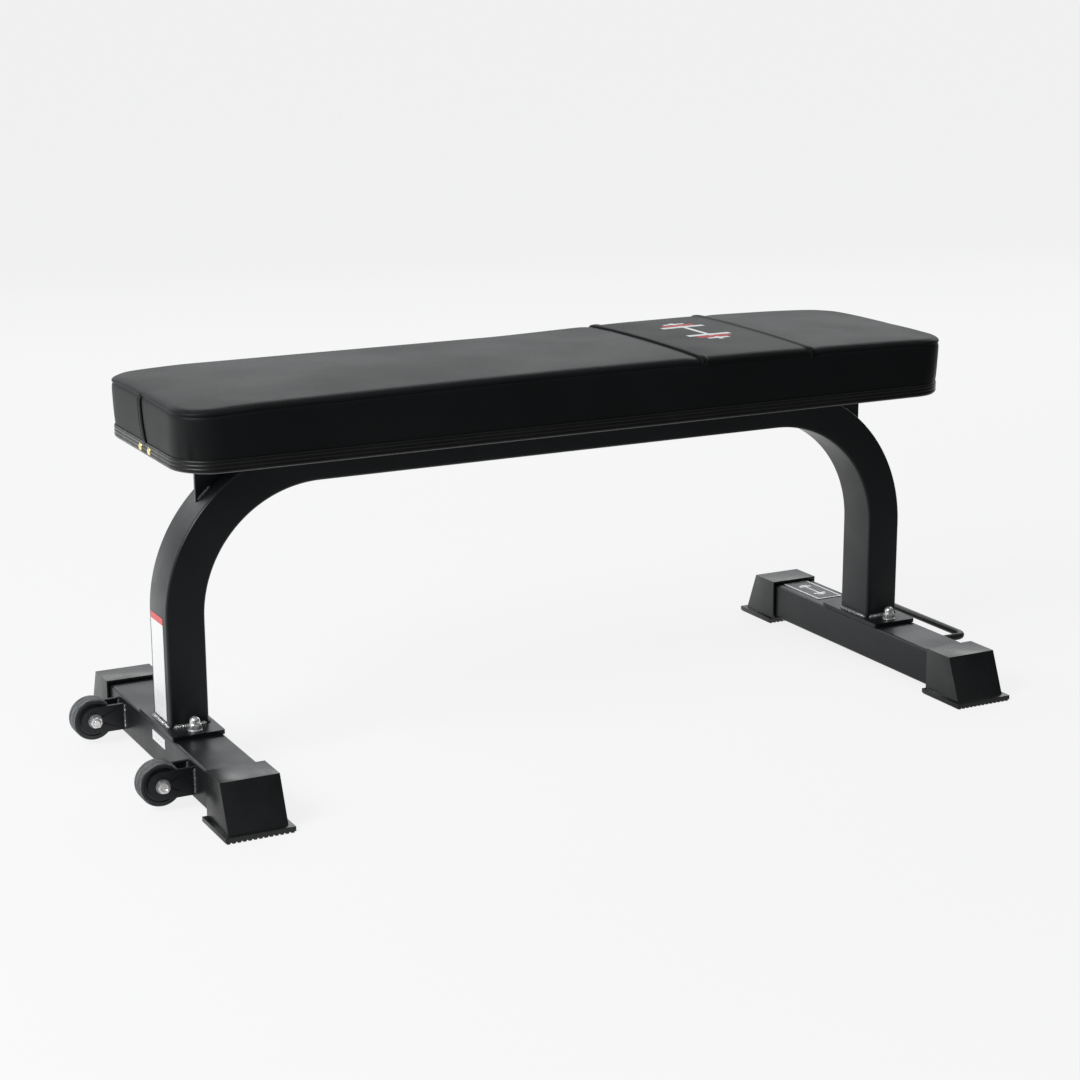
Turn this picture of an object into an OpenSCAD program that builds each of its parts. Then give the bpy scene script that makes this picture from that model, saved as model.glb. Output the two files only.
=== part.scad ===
// Flat weight bench: a padded top on one bent tube, standing on two cross feet,
// with two transport wheels at one end and a lift handle at the other.
// X runs along the bench, Y across it and Z up. The floor is Z = 0.

/* [Frame] */
// Distance between the centres of the two legs
leg_span = 950; // [850:1:1100]
// Height of the top face of the spine
frame_h = 372; // [330:1:420]
// Long side of the rectangular tube
tube_w = 60; // [50:1:70]
// Short side of the rectangular tube
tube_d = 46; // [36:1:50]
// Wall of the rectangular tube
tube_wall = 2.5; // [2:0.5:4]
// Outside corner radius of the rectangular tube
tube_r = 3.5; // [3:0.5:6]
// Outside radius of the two big bends
bend_r = 190; // [140:1:230]
// Thickness of the gusset plates over the bends
gusset_t = 5; // [3:0.5:8]
// Distance from the leg's centre to the upright edge of its gusset
gusset_in = 26.5; // [22:0.5:32]
// Level part of each gusset's top edge, measured inwards
gusset_run = 92; // [60:1:110]

/* [Cross feet] */
// Length of each cross tube
foot_l = 432; // [380:1:520]
// Gap between the floor and the bottom of a cross tube
foot_lift = 8; // [7.5:0.5:14]
// Length of the plate under each leg
base_l = 120; // [110:1:150]
// Width of the plate under each leg
base_w = 62; // [56:1:70]
// Thickness of the plate under each leg
base_t = 5; // [4:0.5:8]
// Distance of each base bolt from the leg's centre plane
base_bolt_y = 46.5; // [42:0.5:50]

/* [Rubber boots] */
// Length of a boot along its top
boot_top_l = 45; // [35:1:60]
// Length of a boot at the top of its flange
boot_low_l = 66; // [55:1:80]
// How far the tube reaches into a boot
boot_grip = 40; // [25:1:44]
// Rubber thickness at the sides
boot_wall = 4; // [3:0.5:6]
// Rubber thickness on top
boot_cap = 4.6; // [3:0.2:7]
// Height of the flange that meets the floor
flange_h = 7; // [5:0.5:7.5]
// How far the flange stands out at the sides
flange_side = 5.6; // [2:0.2:8]
// How far the flange stands out at the end
flange_end = 8; // [4:0.5:12]

/* [Wheels] */
// Outside diameter of a wheel
wheel_d = 49.5; // [44:0.5:50]
// Width of a wheel
wheel_w = 19.5; // [14:0.5:26]
// Depth of the rubber tread
tread_t = 1.9; // [1.5:0.1:5]
// Distance from the cross tube's face to the wheel axle
axle_out = 37; // [32:0.5:50]
// Height of the wheel axle
axle_z = 31; // [25.5:0.5:32]
// Height of a wheel lug plate
lug_h = 32; // [26:1:36]
// Thickness of a wheel lug plate
lug_t = 4; // [3:0.5:6]
// Distance of the near wheel from the centre plane
near_wheel_y = 115.5; // [100:0.5:125]
// Distance of the far wheel from the centre plane
far_wheel_y = 133; // [100:0.5:140]

/* [Lift handle] */
// Diameter of the handle bar
handle_d = 9; // [8:0.5:14]
// Width of the handle between the centres of its two arms
handle_l = 227; // [150:1:280]
// Distance from the cross tube to the centre of the grip
handle_out = 42.5; // [30:0.5:60]
// Height of the handle's centre
handle_z = 44; // [20:1:46]
// Radius of the handle's two bends
handle_bend = 12; // [8:1:24]

/* [Pad] */
// Length of the pad
pad_l = 994; // [900:1:1200]
// Width of the pad
pad_w = 275; // [240:1:320]
// Thickness of the pad with its board
pad_h = 70; // [55:1:100]
// Corner radius of the pad seen from above
pad_corner = 47; // [30:1:70]
// Rounding of the pad's upper edge
pad_edge = 10; // [6:0.5:15]
// How far the pad's centre sits towards the wheels
pad_shift = 8.5; // [0:0.5:15]
// Thickness of the cover material
cover_t = 1.2; // [0.8:0.1:2]
// Thickness of the board inside the pad
board_t = 15; // [12:1:20]
// Thickness of the backing sheet under the pad
backing_t = 1.4; // [1:0.1:3]
// Height of the edge trim
trim_h = 12.5; // [9:0.5:18]
// Thickness of the edge trim
trim_t = 1.6; // [1:0.1:3]
// Width of the band sewn over the top
band_w = 158; // [100:1:200]
// Distance from the pad's centre to the band's middle
band_x = 219.5; // [150:0.5:280]
// Thickness of the band
band_t = 1; // [0.6:0.1:2]
// Thickness of the flats that carry the pad
flat_t = 5; // [4:0.5:8]
// Width of the flats that carry the pad
flat_w = 50; // [40:1:80]
// Length of the flats that carry the pad
flat_l = 190; // [150:1:220]
// Distance from the middle of the spine to each flat
flat_x = 230; // [180:1:270]
// Distance of each pad bolt from the centre plane
pad_bolt_y = 70; // [50:1:85]

/* [Fasteners] */
// Diameter of the bolts
bolt_d = 8; // [6:0.5:10]
// Clearance between a bolt and its hole, on the radius
hole_gap = 0.4; // [0.2:0.1:0.8]
// Clearance between an axle bolt and its bush, on the radius
run_gap = 0.05; // [0.02:0.01:0.1]
// Clearance between a bolt's thread and its nut, on the radius
thread_gap = 0.05; // [0.02:0.01:0.1]
// Clearance between a wheel and its lugs, each side
side_gap = 0.5; // [0.3:0.1:1]

/* [Hidden] */
$fn = 48;

leg_x = leg_span / 2;
foot_top = foot_lift + tube_d;
base_top = foot_top + base_t;
foot_face = leg_x + tube_w / 2;
axle_x = foot_face + axle_out;
spine_z = frame_h - tube_d / 2;
bend_x = leg_x + tube_d / 2 - bend_r;
bend_z = frame_h - bend_r;
end_out = foot_face + handle_out + handle_d / 2;
wheel_out = axle_x + wheel_d / 2;
// Moves the whole bench so that its bounding box is centred on the origin
shift_x = (wheel_out - end_out) / 2;

boot_in = foot_l / 2 - boot_grip;
boot_top = foot_top + boot_cap;
boot_half = tube_w / 2 + boot_wall;
// Step that the tube's end leaves at the mouth of a boot
mouth_gap = 0.9;
mouth_l = 2.5;
sole_pitch = 6;
sole_cut = 2.4;
sole_deep = 1.6;
sole_grooves = floor(2 * (boot_half + flange_side) / sole_pitch) - 1;

washer_d = bolt_d * 2.1;
washer_t = bolt_d * 0.2;
nut_af = bolt_d * 1.63;
nut_h = bolt_d * 0.8;
head_h = bolt_d * 0.6;
hole_d = bolt_d + 2 * hole_gap;
thread_d = bolt_d + 2 * thread_gap;
// Bolt left standing past a nut
bolt_end = 3;
dome_r = nut_af / 2 - 0.5;
dome_h = bolt_d * 1.88;
dome_bore = bolt_d * 1.37;
base_bolt_l = tube_d + base_t + 2 * washer_t + dome_bore - 1;

wheel_gap = wheel_w + 2 * side_gap;
bush_d = bolt_d + 4;
lug_r = lug_h / 2;
core_r = wheel_d / 2 - tread_t;
// Shallow ring sunk into both faces of a wheel
dish_in = bush_d;
dish_out = core_r - 3.5;
dish_deep = 1.2;
tread_bevel = 1.4;
axle_grip = wheel_gap + 2 * lug_t + 2 * washer_t;
axle_bolt_l = axle_grip + nut_h + bolt_end;

pad_z = frame_h + backing_t;
pad_top = pad_z + pad_h;
board_z = pad_z + cover_t;
foam_z = board_z + board_t;
// Clearance between the board's edge and the cover
board_gap = 0.25;
// Width of the cover folded in under the board
hem_w = 25;
band_drop = 6;
tack_d = 9;
tack_top_d = tack_d * 0.5;
tack_t = 2.5;
tack_y = -13;
tack_gap = 30;
tack_z = pad_z + trim_h / 2;
flat_corner = 6;
flat_z = frame_h - flat_t;
tee_flange_d = bolt_d * 2.4;
tee_flange_t = 1.5;
tee_barrel = 9;
tee_d = bolt_d + 2;
pad_bolt_l = washer_t + flat_t + backing_t + cover_t + board_t - 2;

label_t = 0.3;
leg_label_w = 41;
leg_label_h = 121;
leg_label_y = 3;
leg_label_z = base_top + 5;
foot_label_l = 44;
foot_label_h = 11.5;
foot_label_y = -6.5;
foot_label_z = foot_top - foot_label_h - 7.5;
plate_l = 86;
plate_w = 38;
plate_t = 0.8;
plate_y = 131;
plate_corner = 2;

steel_color = [0.12, 0.13, 0.13];
rubber_color = [0.08, 0.08, 0.085];
zinc_color = [0.78, 0.79, 0.8];
vinyl_color = [0.1, 0.1, 0.105];
label_color = [0.95, 0.95, 0.95];

module placed() { translate([shift_x, 0, 0]) children(); }
module at_leg(side) { placed() translate([side * leg_x, 0, 0]) children(); }

// Rounded rectangle, a wide in X and b in Y, drawn with true arcs
module round_rect(a, b, r) {
  square([a - 2 * r, b], center = true);
  square([a, b - 2 * r], center = true);
  for (x = [-1, 1], y = [-1, 1]) translate([x * (a / 2 - r), y * (b / 2 - r)]) circle(r = r);
}

module tube_section(a, b) {
  difference() {
    round_rect(a, b, tube_r);
    round_rect(a - 2 * tube_wall, b - 2 * tube_wall, tube_r - tube_wall);
  }
}

module hex_prism(af, h) { cylinder(d = af / cos(30), h = h, $fn = 6); }

module ring(od, id, h) {
  difference() {
    cylinder(d = od, h = h);
    translate([0, 0, -1]) cylinder(d = id, h = h + 2);
  }
}

// Hex bolt with the underside of its head at the origin and its shank along +Z
module hex_bolt(len) {
  translate([0, 0, -head_h]) hex_prism(nut_af, head_h);
  cylinder(d = bolt_d, h = len);
}

// ---- frame ----

module bend(side) {
  translate([side * bend_x, 0, bend_z]) rotate([90, 0, 0]) rotate([0, 0, side > 0 ? 0 : 90])
    rotate_extrude(angle = 90, $fn = 96)
      translate([bend_r - tube_d / 2, 0]) tube_section(tube_d, tube_w);
}

module leg_tube(side) {
  translate([side * leg_x, 0, base_top]) linear_extrude(bend_z - base_top)
    tube_section(tube_d, tube_w);
}

module main_tube() {
  color(steel_color) placed() {
    translate([-bend_x, 0, spine_z]) rotate([0, 90, 0]) linear_extrude(2 * bend_x)
      tube_section(tube_d, tube_w);
    for (side = [-1, 1]) {
      bend(side);
      leg_tube(side);
    }
  }
}

module gusset(side) {
  edge_x = leg_x - gusset_in;
  color(steel_color) placed() difference() {
    translate([side > 0 ? edge_x - gusset_run : -edge_x, -gusset_t / 2, bend_z])
      cube([gusset_run, gusset_t, bend_r]);
    translate([side * bend_x, 0, bend_z]) rotate([90, 0, 0])
      cylinder(r = bend_r, h = 2 * gusset_t, center = true, $fn = 96);
  }
}
module gusset_left() { gusset(-1); }
module gusset_right() { gusset(1); }

module base_plate(side) {
  color(steel_color) at_leg(side) difference() {
    translate([0, 0, foot_top]) linear_extrude(base_t) round_rect(base_w, base_l, plate_corner);
    base_holes(foot_top - 1, base_t + 2);
  }
}
module base_holes(z, h) {
  for (y = [-1, 1]) translate([0, y * base_bolt_y, z]) cylinder(d = hole_d, h = h);
}
module base_plate_left() { base_plate(-1); }
module base_plate_right() { base_plate(1); }

// Pair of steel flats welded to the sides of the spine, that the pad is bolted to
module pad_flat(side) {
  color(steel_color) placed() translate([side * flat_x, 0, flat_z]) difference() {
    linear_extrude(flat_t) round_rect(flat_w, flat_l, flat_corner);
    translate([-flat_w, -tube_w / 2, -1]) cube([2 * flat_w, tube_w, flat_t + 2]);
    for (y = [-1, 1]) translate([0, y * pad_bolt_y, -1]) cylinder(d = hole_d, h = flat_t + 2);
  }
}
module pad_flat_left() { pad_flat(-1); }
module pad_flat_right() { pad_flat(1); }

module cross_tube(side) {
  color(steel_color) at_leg(side) difference() {
    translate([0, foot_l / 2, foot_lift + tube_d / 2]) rotate([90, 0, 0]) linear_extrude(foot_l)
      tube_section(tube_w, tube_d);
    base_holes(foot_lift - 1, tube_d + 2);
  }
}
module cross_tube_left() { cross_tube(-1); }
module cross_tube_right() { cross_tube(1); }

// ---- rubber boots ----

// A boot for the +Y end of a cross tube: sloped end, flange and treaded sole
module boot(side, end) {
  color(rubber_color) at_leg(side) mirror([0, end > 0 ? 0 : 1, 0]) difference() {
    union() {
      translate([-boot_half, 0, 0]) rotate([90, 0, 90]) linear_extrude(2 * boot_half)
        polygon([[boot_in, 0], [boot_in + boot_low_l, 0], [boot_in + boot_low_l, flange_h],
                 [boot_in + boot_top_l, boot_top], [boot_in, boot_top]]);
      translate([-boot_half - flange_side, boot_in, 0])
        cube([2 * (boot_half + flange_side), boot_low_l + flange_end, flange_h]);
    }
    boot_cavity(0, -1, boot_grip + 1);
    boot_cavity(mouth_gap, -1, mouth_l + 1);
    for (n = [0 : sole_grooves - 1]) translate([(n - (sole_grooves - 1) / 2) * sole_pitch, 0, 0])
      translate([-sole_cut / 2, boot_in - 1, -1])
        cube([sole_cut, boot_low_l + flange_end + 2, sole_deep + 1]);
  }
}

module boot_cavity(grow, from, len) {
  translate([0, boot_in + from + len, foot_lift + tube_d / 2]) rotate([90, 0, 0])
    linear_extrude(len) round_rect(tube_w + 2 * grow, tube_d + 2 * grow, tube_r + grow);
}
module boot_left_near() { boot(-1, -1); }
module boot_left_far() { boot(-1, 1); }
module boot_right_near() { boot(1, -1); }
module boot_right_far() { boot(1, 1); }

// ---- base fasteners ----

module base_places() {
  for (side = [-1, 1], y = [-1, 1]) at_leg(side) translate([0, y * base_bolt_y, 0]) children();
}
module base_bolts() {
  color(zinc_color) base_places() translate([0, 0, foot_lift - washer_t])
    hex_bolt(base_bolt_l);
}
module base_bolt_washers() {
  color(zinc_color) base_places() translate([0, 0, foot_lift - washer_t])
    ring(washer_d, hole_d, washer_t);
}
module dome_washers() {
  color(zinc_color) base_places() translate([0, 0, base_top])
    ring(washer_d, hole_d, washer_t);
}
module dome_nuts() {
  color(zinc_color) base_places() translate([0, 0, base_top + washer_t]) difference() {
    union() {
      hex_prism(nut_af, nut_h);
      cylinder(r = dome_r, h = dome_h - dome_r);
      translate([0, 0, dome_h - dome_r]) sphere(r = dome_r);
    }
    translate([0, 0, -1]) cylinder(d = thread_d, h = dome_bore + 1);
  }
}

// ---- transport wheels ----

// side is -1 at the near wheel and 1 at the far one; +Y of a wheel's own frame points outboard
module at_wheel(side) {
  y = side > 0 ? far_wheel_y : near_wheel_y;
  placed() translate([-axle_x, side * y, axle_z]) mirror([0, side > 0 ? 0 : 1, 0]) children();
}
module along_axle(y) { translate([0, y, 0]) rotate([-90, 0, 0]) children(); }

module wheel_lug(side, out) {
  color(steel_color) at_wheel(side) along_axle(out * wheel_gap / 2 - (out < 0 ? lug_t : 0))
    difference() {
      union() {
        cylinder(r = lug_r, h = lug_t);
        translate([0, -lug_r, 0]) cube([axle_out, lug_h, lug_t]);
      }
      translate([0, 0, -1]) cylinder(d = hole_d, h = lug_t + 2);
    }
}
module wheel_lug_near_outer() { wheel_lug(-1, 1); }
module wheel_lug_near_inner() { wheel_lug(-1, -1); }
module wheel_lug_far_inner() { wheel_lug(1, -1); }
module wheel_lug_far_outer() { wheel_lug(1, 1); }

module wheel_core(side) {
  color([0.09, 0.09, 0.1]) at_wheel(side) along_axle(-wheel_w / 2) difference() {
    cylinder(r = core_r, h = wheel_w, $fn = 72);
    translate([0, 0, -1]) cylinder(d = bush_d, h = wheel_w + 2);
    for (z = [-1, wheel_w - dish_deep]) translate([0, 0, z]) difference() {
      cylinder(r = dish_out, h = dish_deep + 1);
      translate([0, 0, -1]) cylinder(r = dish_in, h = dish_deep + 3);
    }
  }
}
module wheel_core_near() { wheel_core(-1); }
module wheel_core_far() { wheel_core(1); }

module wheel_tyre(side) {
  color([0.45, 0.46, 0.46]) at_wheel(side) along_axle(-wheel_w / 2)
    rotate_extrude($fn = 96) difference() {
      translate([core_r, 0]) square([tread_t, wheel_w]);
      for (z = [0, wheel_w]) translate([wheel_d / 2, z]) rotate(45)
        square(tread_bevel, center = true);
    }
}
module wheel_tyre_near() { wheel_tyre(-1); }
module wheel_tyre_far() { wheel_tyre(1); }

module wheel_bush(side) {
  color([0.6, 0.6, 0.6]) at_wheel(side) along_axle(-wheel_w / 2)
    ring(bush_d, bolt_d + 2 * run_gap, wheel_w);
}
module wheel_bush_near() { wheel_bush(-1); }
module wheel_bush_far() { wheel_bush(1); }

module axle_bolt(side) {
  color(zinc_color) at_wheel(side) along_axle(axle_grip / 2) mirror([0, 0, 1])
    hex_bolt(axle_bolt_l);
}
module axle_bolt_near() { axle_bolt(-1); }
module axle_bolt_far() { axle_bolt(1); }

module axle_washers() {
  color(zinc_color) for (side = [-1, 1]) at_wheel(side)
    for (y = [-axle_grip / 2, axle_grip / 2 - washer_t]) along_axle(y)
      ring(washer_d, hole_d, washer_t);
}
module axle_nuts() {
  color(zinc_color) for (side = [-1, 1]) at_wheel(side)
    along_axle(-axle_grip / 2 - nut_h) difference() {
      hex_prism(nut_af, nut_h);
      translate([0, 0, -1]) cylinder(d = thread_d, h = nut_h + 2);
    }
}

// ---- lift handle ----

module handle_turn() {
  rotate_extrude(angle = 90) translate([handle_bend, 0]) circle(d = handle_d);
}
module lift_handle() {
  grip = handle_l / 2 - handle_bend;
  color(steel_color) placed() translate([foot_face, 0, handle_z]) {
    translate([handle_out, 0, 0]) rotate([90, 0, 0])
      cylinder(d = handle_d, h = 2 * grip, center = true);
    translate([handle_out - handle_bend, grip, 0]) handle_turn();
    translate([handle_out - handle_bend, -grip, 0]) rotate(-90) handle_turn();
    for (y = [-1, 1]) translate([0, y * handle_l / 2, 0]) rotate([0, 90, 0])
      cylinder(d = handle_d, h = handle_out - handle_bend);
  }
}

// ---- pad ----

module at_pad() { placed() translate([-pad_shift, 0, 0]) children(); }

// Block with rounded corners and a rounded upper edge, grown outwards by g
module pad_block(z, h, g) {
  r = pad_corner + g;
  e = pad_edge + g;
  hull() for (x = [-1, 1], y = [-1, 1])
    translate([x * (pad_l / 2 - pad_corner), y * (pad_w / 2 - pad_corner), z])
      rotate_extrude($fn = 40) {
        square([r, h - e]);
        square([r - e, h]);
        intersection() {
          translate([r - e, h - e]) circle(r = e, $fn = 32);
          square([r, h]);
        }
      }
}
// Plate with the pad's outline, grown outwards by g
module pad_plate(z, h, g) {
  translate([0, 0, z]) linear_extrude(h)
    round_rect(pad_l + 2 * g, pad_w + 2 * g, pad_corner + g, $fn = 64);
}
module pad_bolt_places() {
  placed() for (side = [-1, 1], y = [-1, 1])
    translate([side * flat_x, y * pad_bolt_y, 0]) children();
}

module pad_board() {
  color([0.72, 0.55, 0.36]) difference() {
    at_pad() pad_plate(board_z, board_t, -cover_t - board_gap);
    pad_bolt_places() {
      translate([0, 0, board_z - 1]) cylinder(d = tee_d, h = board_t + 2);
      translate([0, 0, foam_z - tee_flange_t]) cylinder(d = tee_flange_d, h = tee_flange_t + 1);
    }
  }
}
module pad_foam() {
  color([0.85, 0.8, 0.55]) at_pad() pad_block(foam_z, pad_top - cover_t - foam_z, -cover_t);
}
module pad_cover() {
  color(vinyl_color) at_pad() difference() {
    pad_block(pad_z, pad_h, 0);
    pad_block(board_z, pad_h - 2 * cover_t, -cover_t);
    pad_plate(pad_z - 1, cover_t + 2, -hem_w);
  }
}

module sewn_band() {
  color(vinyl_color) at_pad() difference() {
    intersection() {
      pad_block(pad_z, pad_h + band_t, band_t);
      translate([band_x - band_w / 2, -pad_w, pad_top - band_drop])
        cube([band_w, 2 * pad_w, pad_h]);
    }
    pad_block(pad_z - 1, pad_h + 1, 0);
  }
}

module edge_trim() {
  color(rubber_color) at_pad() difference() {
    pad_plate(pad_z, trim_h, trim_t);
    pad_plate(pad_z - 1, trim_h + 2, 0);
  }
}

module trim_tacks() {
  color([0.83, 0.72, 0.45]) at_pad()
    for (y = [-1, 1]) translate([-pad_l / 2 - trim_t, tack_y + y * tack_gap / 2, tack_z])
      rotate([0, -90, 0]) cylinder(d1 = tack_d, d2 = tack_top_d, h = tack_t);
}

module pad_backing() {
  color([0.7, 0.7, 0.7]) difference() {
    at_pad() pad_plate(frame_h, backing_t, 0);
    pad_bolt_places() translate([0, 0, frame_h - 1]) cylinder(d = hole_d, h = backing_t + 2);
  }
}
module tee_nuts() {
  color(zinc_color) pad_bolt_places() translate([0, 0, foam_z]) mirror([0, 0, 1])
    difference() {
      union() {
        cylinder(d = tee_flange_d, h = tee_flange_t);
        cylinder(d = tee_d, h = tee_barrel);
      }
      translate([0, 0, -1]) cylinder(d = thread_d, h = tee_barrel + 2);
    }
}
module pad_bolts() {
  color(zinc_color) pad_bolt_places() translate([0, 0, flat_z - washer_t])
    hex_bolt(pad_bolt_l);
}
module pad_bolt_washers() {
  color(zinc_color) pad_bolt_places() translate([0, 0, flat_z - washer_t])
    ring(washer_d, hole_d, washer_t);
}

// ---- stickers and plate ----

module leg_label() {
  color(label_color) at_leg(-1)
    translate([-tube_d / 2 - label_t, leg_label_y - leg_label_w / 2, leg_label_z])
      cube([label_t, leg_label_w, leg_label_h]);
}
module foot_label() {
  color(label_color) at_leg(-1)
    translate([-tube_w / 2 - label_t, foot_label_y - foot_label_l / 2, foot_label_z])
      cube([label_t, foot_label_l, foot_label_h]);
}
module name_plate() {
  color([0.3, 0.3, 0.31]) at_leg(1)
    translate([0, plate_y, foot_top]) linear_extrude(plate_t) round_rect(plate_w, plate_l, plate_corner);
}

main_tube();
gusset_left();
gusset_right();
base_plate_left();
base_plate_right();
pad_flat_left();
pad_flat_right();
cross_tube_left();
cross_tube_right();
boot_left_near();
boot_left_far();
boot_right_near();
boot_right_far();
base_bolts();
base_bolt_washers();
dome_washers();
dome_nuts();
wheel_lug_near_outer();
wheel_lug_near_inner();
wheel_lug_far_inner();
wheel_lug_far_outer();
wheel_core_near();
wheel_core_far();
wheel_tyre_near();
wheel_tyre_far();
wheel_bush_near();
wheel_bush_far();
axle_bolt_near();
axle_bolt_far();
axle_washers();
axle_nuts();
lift_handle();
pad_board();
pad_foam();
pad_cover();
sewn_band();
edge_trim();
trim_tacks();
pad_backing();
tee_nuts();
pad_bolts();
pad_bolt_washers();
leg_label();
foot_label();
name_plate();
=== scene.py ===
import math
import bpy
from mathutils import Matrix, Vector
from mathutils.bvhtree import BVHTree


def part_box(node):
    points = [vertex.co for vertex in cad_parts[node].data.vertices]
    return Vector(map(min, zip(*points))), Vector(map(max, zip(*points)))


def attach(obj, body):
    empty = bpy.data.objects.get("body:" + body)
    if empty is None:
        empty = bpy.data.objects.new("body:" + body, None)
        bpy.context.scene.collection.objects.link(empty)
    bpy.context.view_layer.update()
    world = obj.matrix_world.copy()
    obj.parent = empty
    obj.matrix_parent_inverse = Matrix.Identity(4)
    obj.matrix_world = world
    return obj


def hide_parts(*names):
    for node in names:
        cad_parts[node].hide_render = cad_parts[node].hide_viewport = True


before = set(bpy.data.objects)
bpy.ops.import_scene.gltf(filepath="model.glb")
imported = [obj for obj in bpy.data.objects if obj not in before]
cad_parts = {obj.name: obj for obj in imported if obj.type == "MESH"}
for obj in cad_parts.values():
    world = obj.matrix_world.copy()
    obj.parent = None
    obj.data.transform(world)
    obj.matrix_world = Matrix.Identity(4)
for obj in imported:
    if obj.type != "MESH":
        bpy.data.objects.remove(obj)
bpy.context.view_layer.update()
scene = bpy.context.scene


# small helpers for node trees

def pick(sockets, key):
    if isinstance(key, int):
        return sockets[key]
    for socket in sockets:
        if socket.identifier == key:
            return socket
    return next(socket for socket in sockets if socket.name == key and socket.enabled)


class Wire:  # a socket of a node tree, so that plain maths on it adds the Math nodes
    def __init__(self, tree, socket=None):
        self.tree = tree
        self.socket = socket

    def add(self, kind, settings=None, sockets=None, out=0):  # any node; out is the output that is wanted
        node = self.tree.nodes.new(kind)
        for key, value in (settings or {}).items():
            if key == "stops":
                ramp = node.color_ramp
                while len(ramp.elements) < len(value):
                    ramp.elements.new(0.5)
                for element, (place, colour) in zip(ramp.elements, value):
                    element.position = place
                    element.color = (*colour, 1)
            else:
                setattr(node, key, value)
        for key, value in (sockets or {}).items():
            self.feed(pick(node.inputs, key), value)
        return Wire(self.tree, pick(node.outputs, out) if node.outputs else None)

    def feed(self, socket, value):
        if isinstance(value, Wire):
            self.tree.links.new(value.socket, socket)
        elif value is not None:
            if socket.type == "RGBA" and len(value) == 3:
                value = (*value, 1)
            socket.default_value = value

    def other(self, key):  # another output of the same node
        return Wire(self.tree, pick(self.socket.node.outputs, key))

    def maths(self, operation, *values, clamp=False):
        settings = {"operation": operation, "use_clamp": clamp}
        return self.add("ShaderNodeMath", settings, dict(enumerate(values)))

    def __add__(self, other): return self.maths("ADD", self, other)
    def __radd__(self, other): return self.maths("ADD", other, self)
    def __sub__(self, other): return self.maths("SUBTRACT", self, other)
    def __rsub__(self, other): return self.maths("SUBTRACT", other, self)
    def __mul__(self, other): return self.maths("MULTIPLY", self, other)
    def __rmul__(self, other): return self.maths("MULTIPLY", other, self)
    def __truediv__(self, other): return self.maths("DIVIDE", self, other)
    def __pow__(self, other): return self.maths("POWER", self, other)
    def __neg__(self): return self.maths("MULTIPLY", self, -1)
    def __abs__(self): return self.maths("ABSOLUTE", self)
    def __lt__(self, other): return self.maths("LESS_THAN", self, other)
    def __gt__(self, other): return self.maths("GREATER_THAN", self, other)

    def between(self, low, high, first=0.0, last=1.0):  # smooth change from first to last
        sockets = {"Value": self, "From Min": low, "From Max": high, "To Min": first, "To Max": last}
        return self.add("ShaderNodeMapRange", {"interpolation_type": "SMOOTHSTEP"}, sockets)

    def near(self, centre, half):  # 1 within half of centre
        return abs(self - centre) < half

    def tint(self, share, first, second):  # mix of two colours
        sockets = {"Factor_Float": share, "A_Color": first, "B_Color": second}
        return self.add("ShaderNodeMix", {"data_type": "RGBA"}, sockets, "Result_Color")

    def noise(self, place, scale, detail=2.0, roughness=0.5):
        return self.add("ShaderNodeTexNoise", None,
                        {"Vector": place, "Scale": scale, "Detail": detail, "Roughness": roughness})

    def stretched(self, place, scale):
        return self.add("ShaderNodeMapping", None, {"Vector": place, "Scale": scale})

    def parts(self, place):
        x = self.add("ShaderNodeSeparateXYZ", None, {0: place})
        return x, x.other(1), x.other(2)


# materials

def newMaterial(name):
    material = bpy.data.materials.new(name)
    material.use_nodes = True
    material.node_tree.nodes.clear()
    wire = Wire(material.node_tree)
    place = wire.add("ShaderNodeTexCoord", out="Object")
    return material, wire, place


def surface(material, wire, colour, rough, height=None, depth=0.0, strength=1.0, varying=None, **fixed):
    shader = wire.add("ShaderNodeBsdfPrincipled")
    node = shader.socket.node
    wire.feed(node.inputs["Base Color"], colour)
    wire.feed(node.inputs["Roughness"], rough)
    for name, value in fixed.items():
        node.inputs[name.replace("_", " ")].default_value = value
    for name, value in (varying or {}).items():
        wire.feed(node.inputs[name], value)
    if height is not None:
        bump = wire.add("ShaderNodeBump", None, {"Strength": strength, "Distance": depth, "Height": height})
        wire.feed(node.inputs["Normal"], bump)
    wire.add("ShaderNodeOutputMaterial", None, {"Surface": shader})
    return material


def powderCoat(name, colour, rough, peel=1.0):  # satin black paint with a faint orange peel
    material, w, place = newMaterial(name)
    fine = w.noise(place, 620, 3)
    broad = w.noise(place, 22, 3)
    dust = w.noise(place, 160, 4, 0.7).between(0.62, 0.8)
    pale = tuple(c * 1.9 + 0.004 for c in colour)
    paint = w.tint(dust * broad * 0.5, colour, pale)
    return surface(material, w, paint, broad.between(0.3, 0.7, rough - 0.04, rough + 0.05) + fine * 0.03,
                   fine + w.noise(place, 190, 2) * 0.7, 0.00005 * peel, 0.5, IOR=1.5, Specular_IOR_Level=0.46)


def weldSkin(name, low, high):  # paint over the ripples, worn through to bare steel in noise patches
    material, w, place = newMaterial(name)
    grit = w.noise(place, 900, 4)
    bare = w.noise(place, 420, 3).between(low, high)
    colour = w.tint(bare, (0.07, 0.073, 0.076), (0.42, 0.42, 0.42))
    return surface(material, w, colour, grit.between(0.3, 0.7, 0.2, 0.36), grit, 0.0002, 0.5,
                   {"Metallic": bare * 0.7}, IOR=1.5)


def mouldedRubber(name, colour, rough, grain, shine):
    material, w, place = newMaterial(name)
    fine = w.noise(place, 1300, 3, 0.6)
    broad = w.noise(place, 45, 4)
    bloom = w.noise(place, 14, 5, 0.65).between(0.45, 0.75)
    pale = tuple(c * 1.6 + 0.004 for c in colour)
    return surface(material, w, w.tint(bloom, colour, pale),
                   broad.between(0.3, 0.7, rough - 0.05, rough + 0.06), fine + broad * 0.4,
                   0.00006 * grain, 0.5, IOR=1.52, Specular_IOR_Level=shine)


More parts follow.
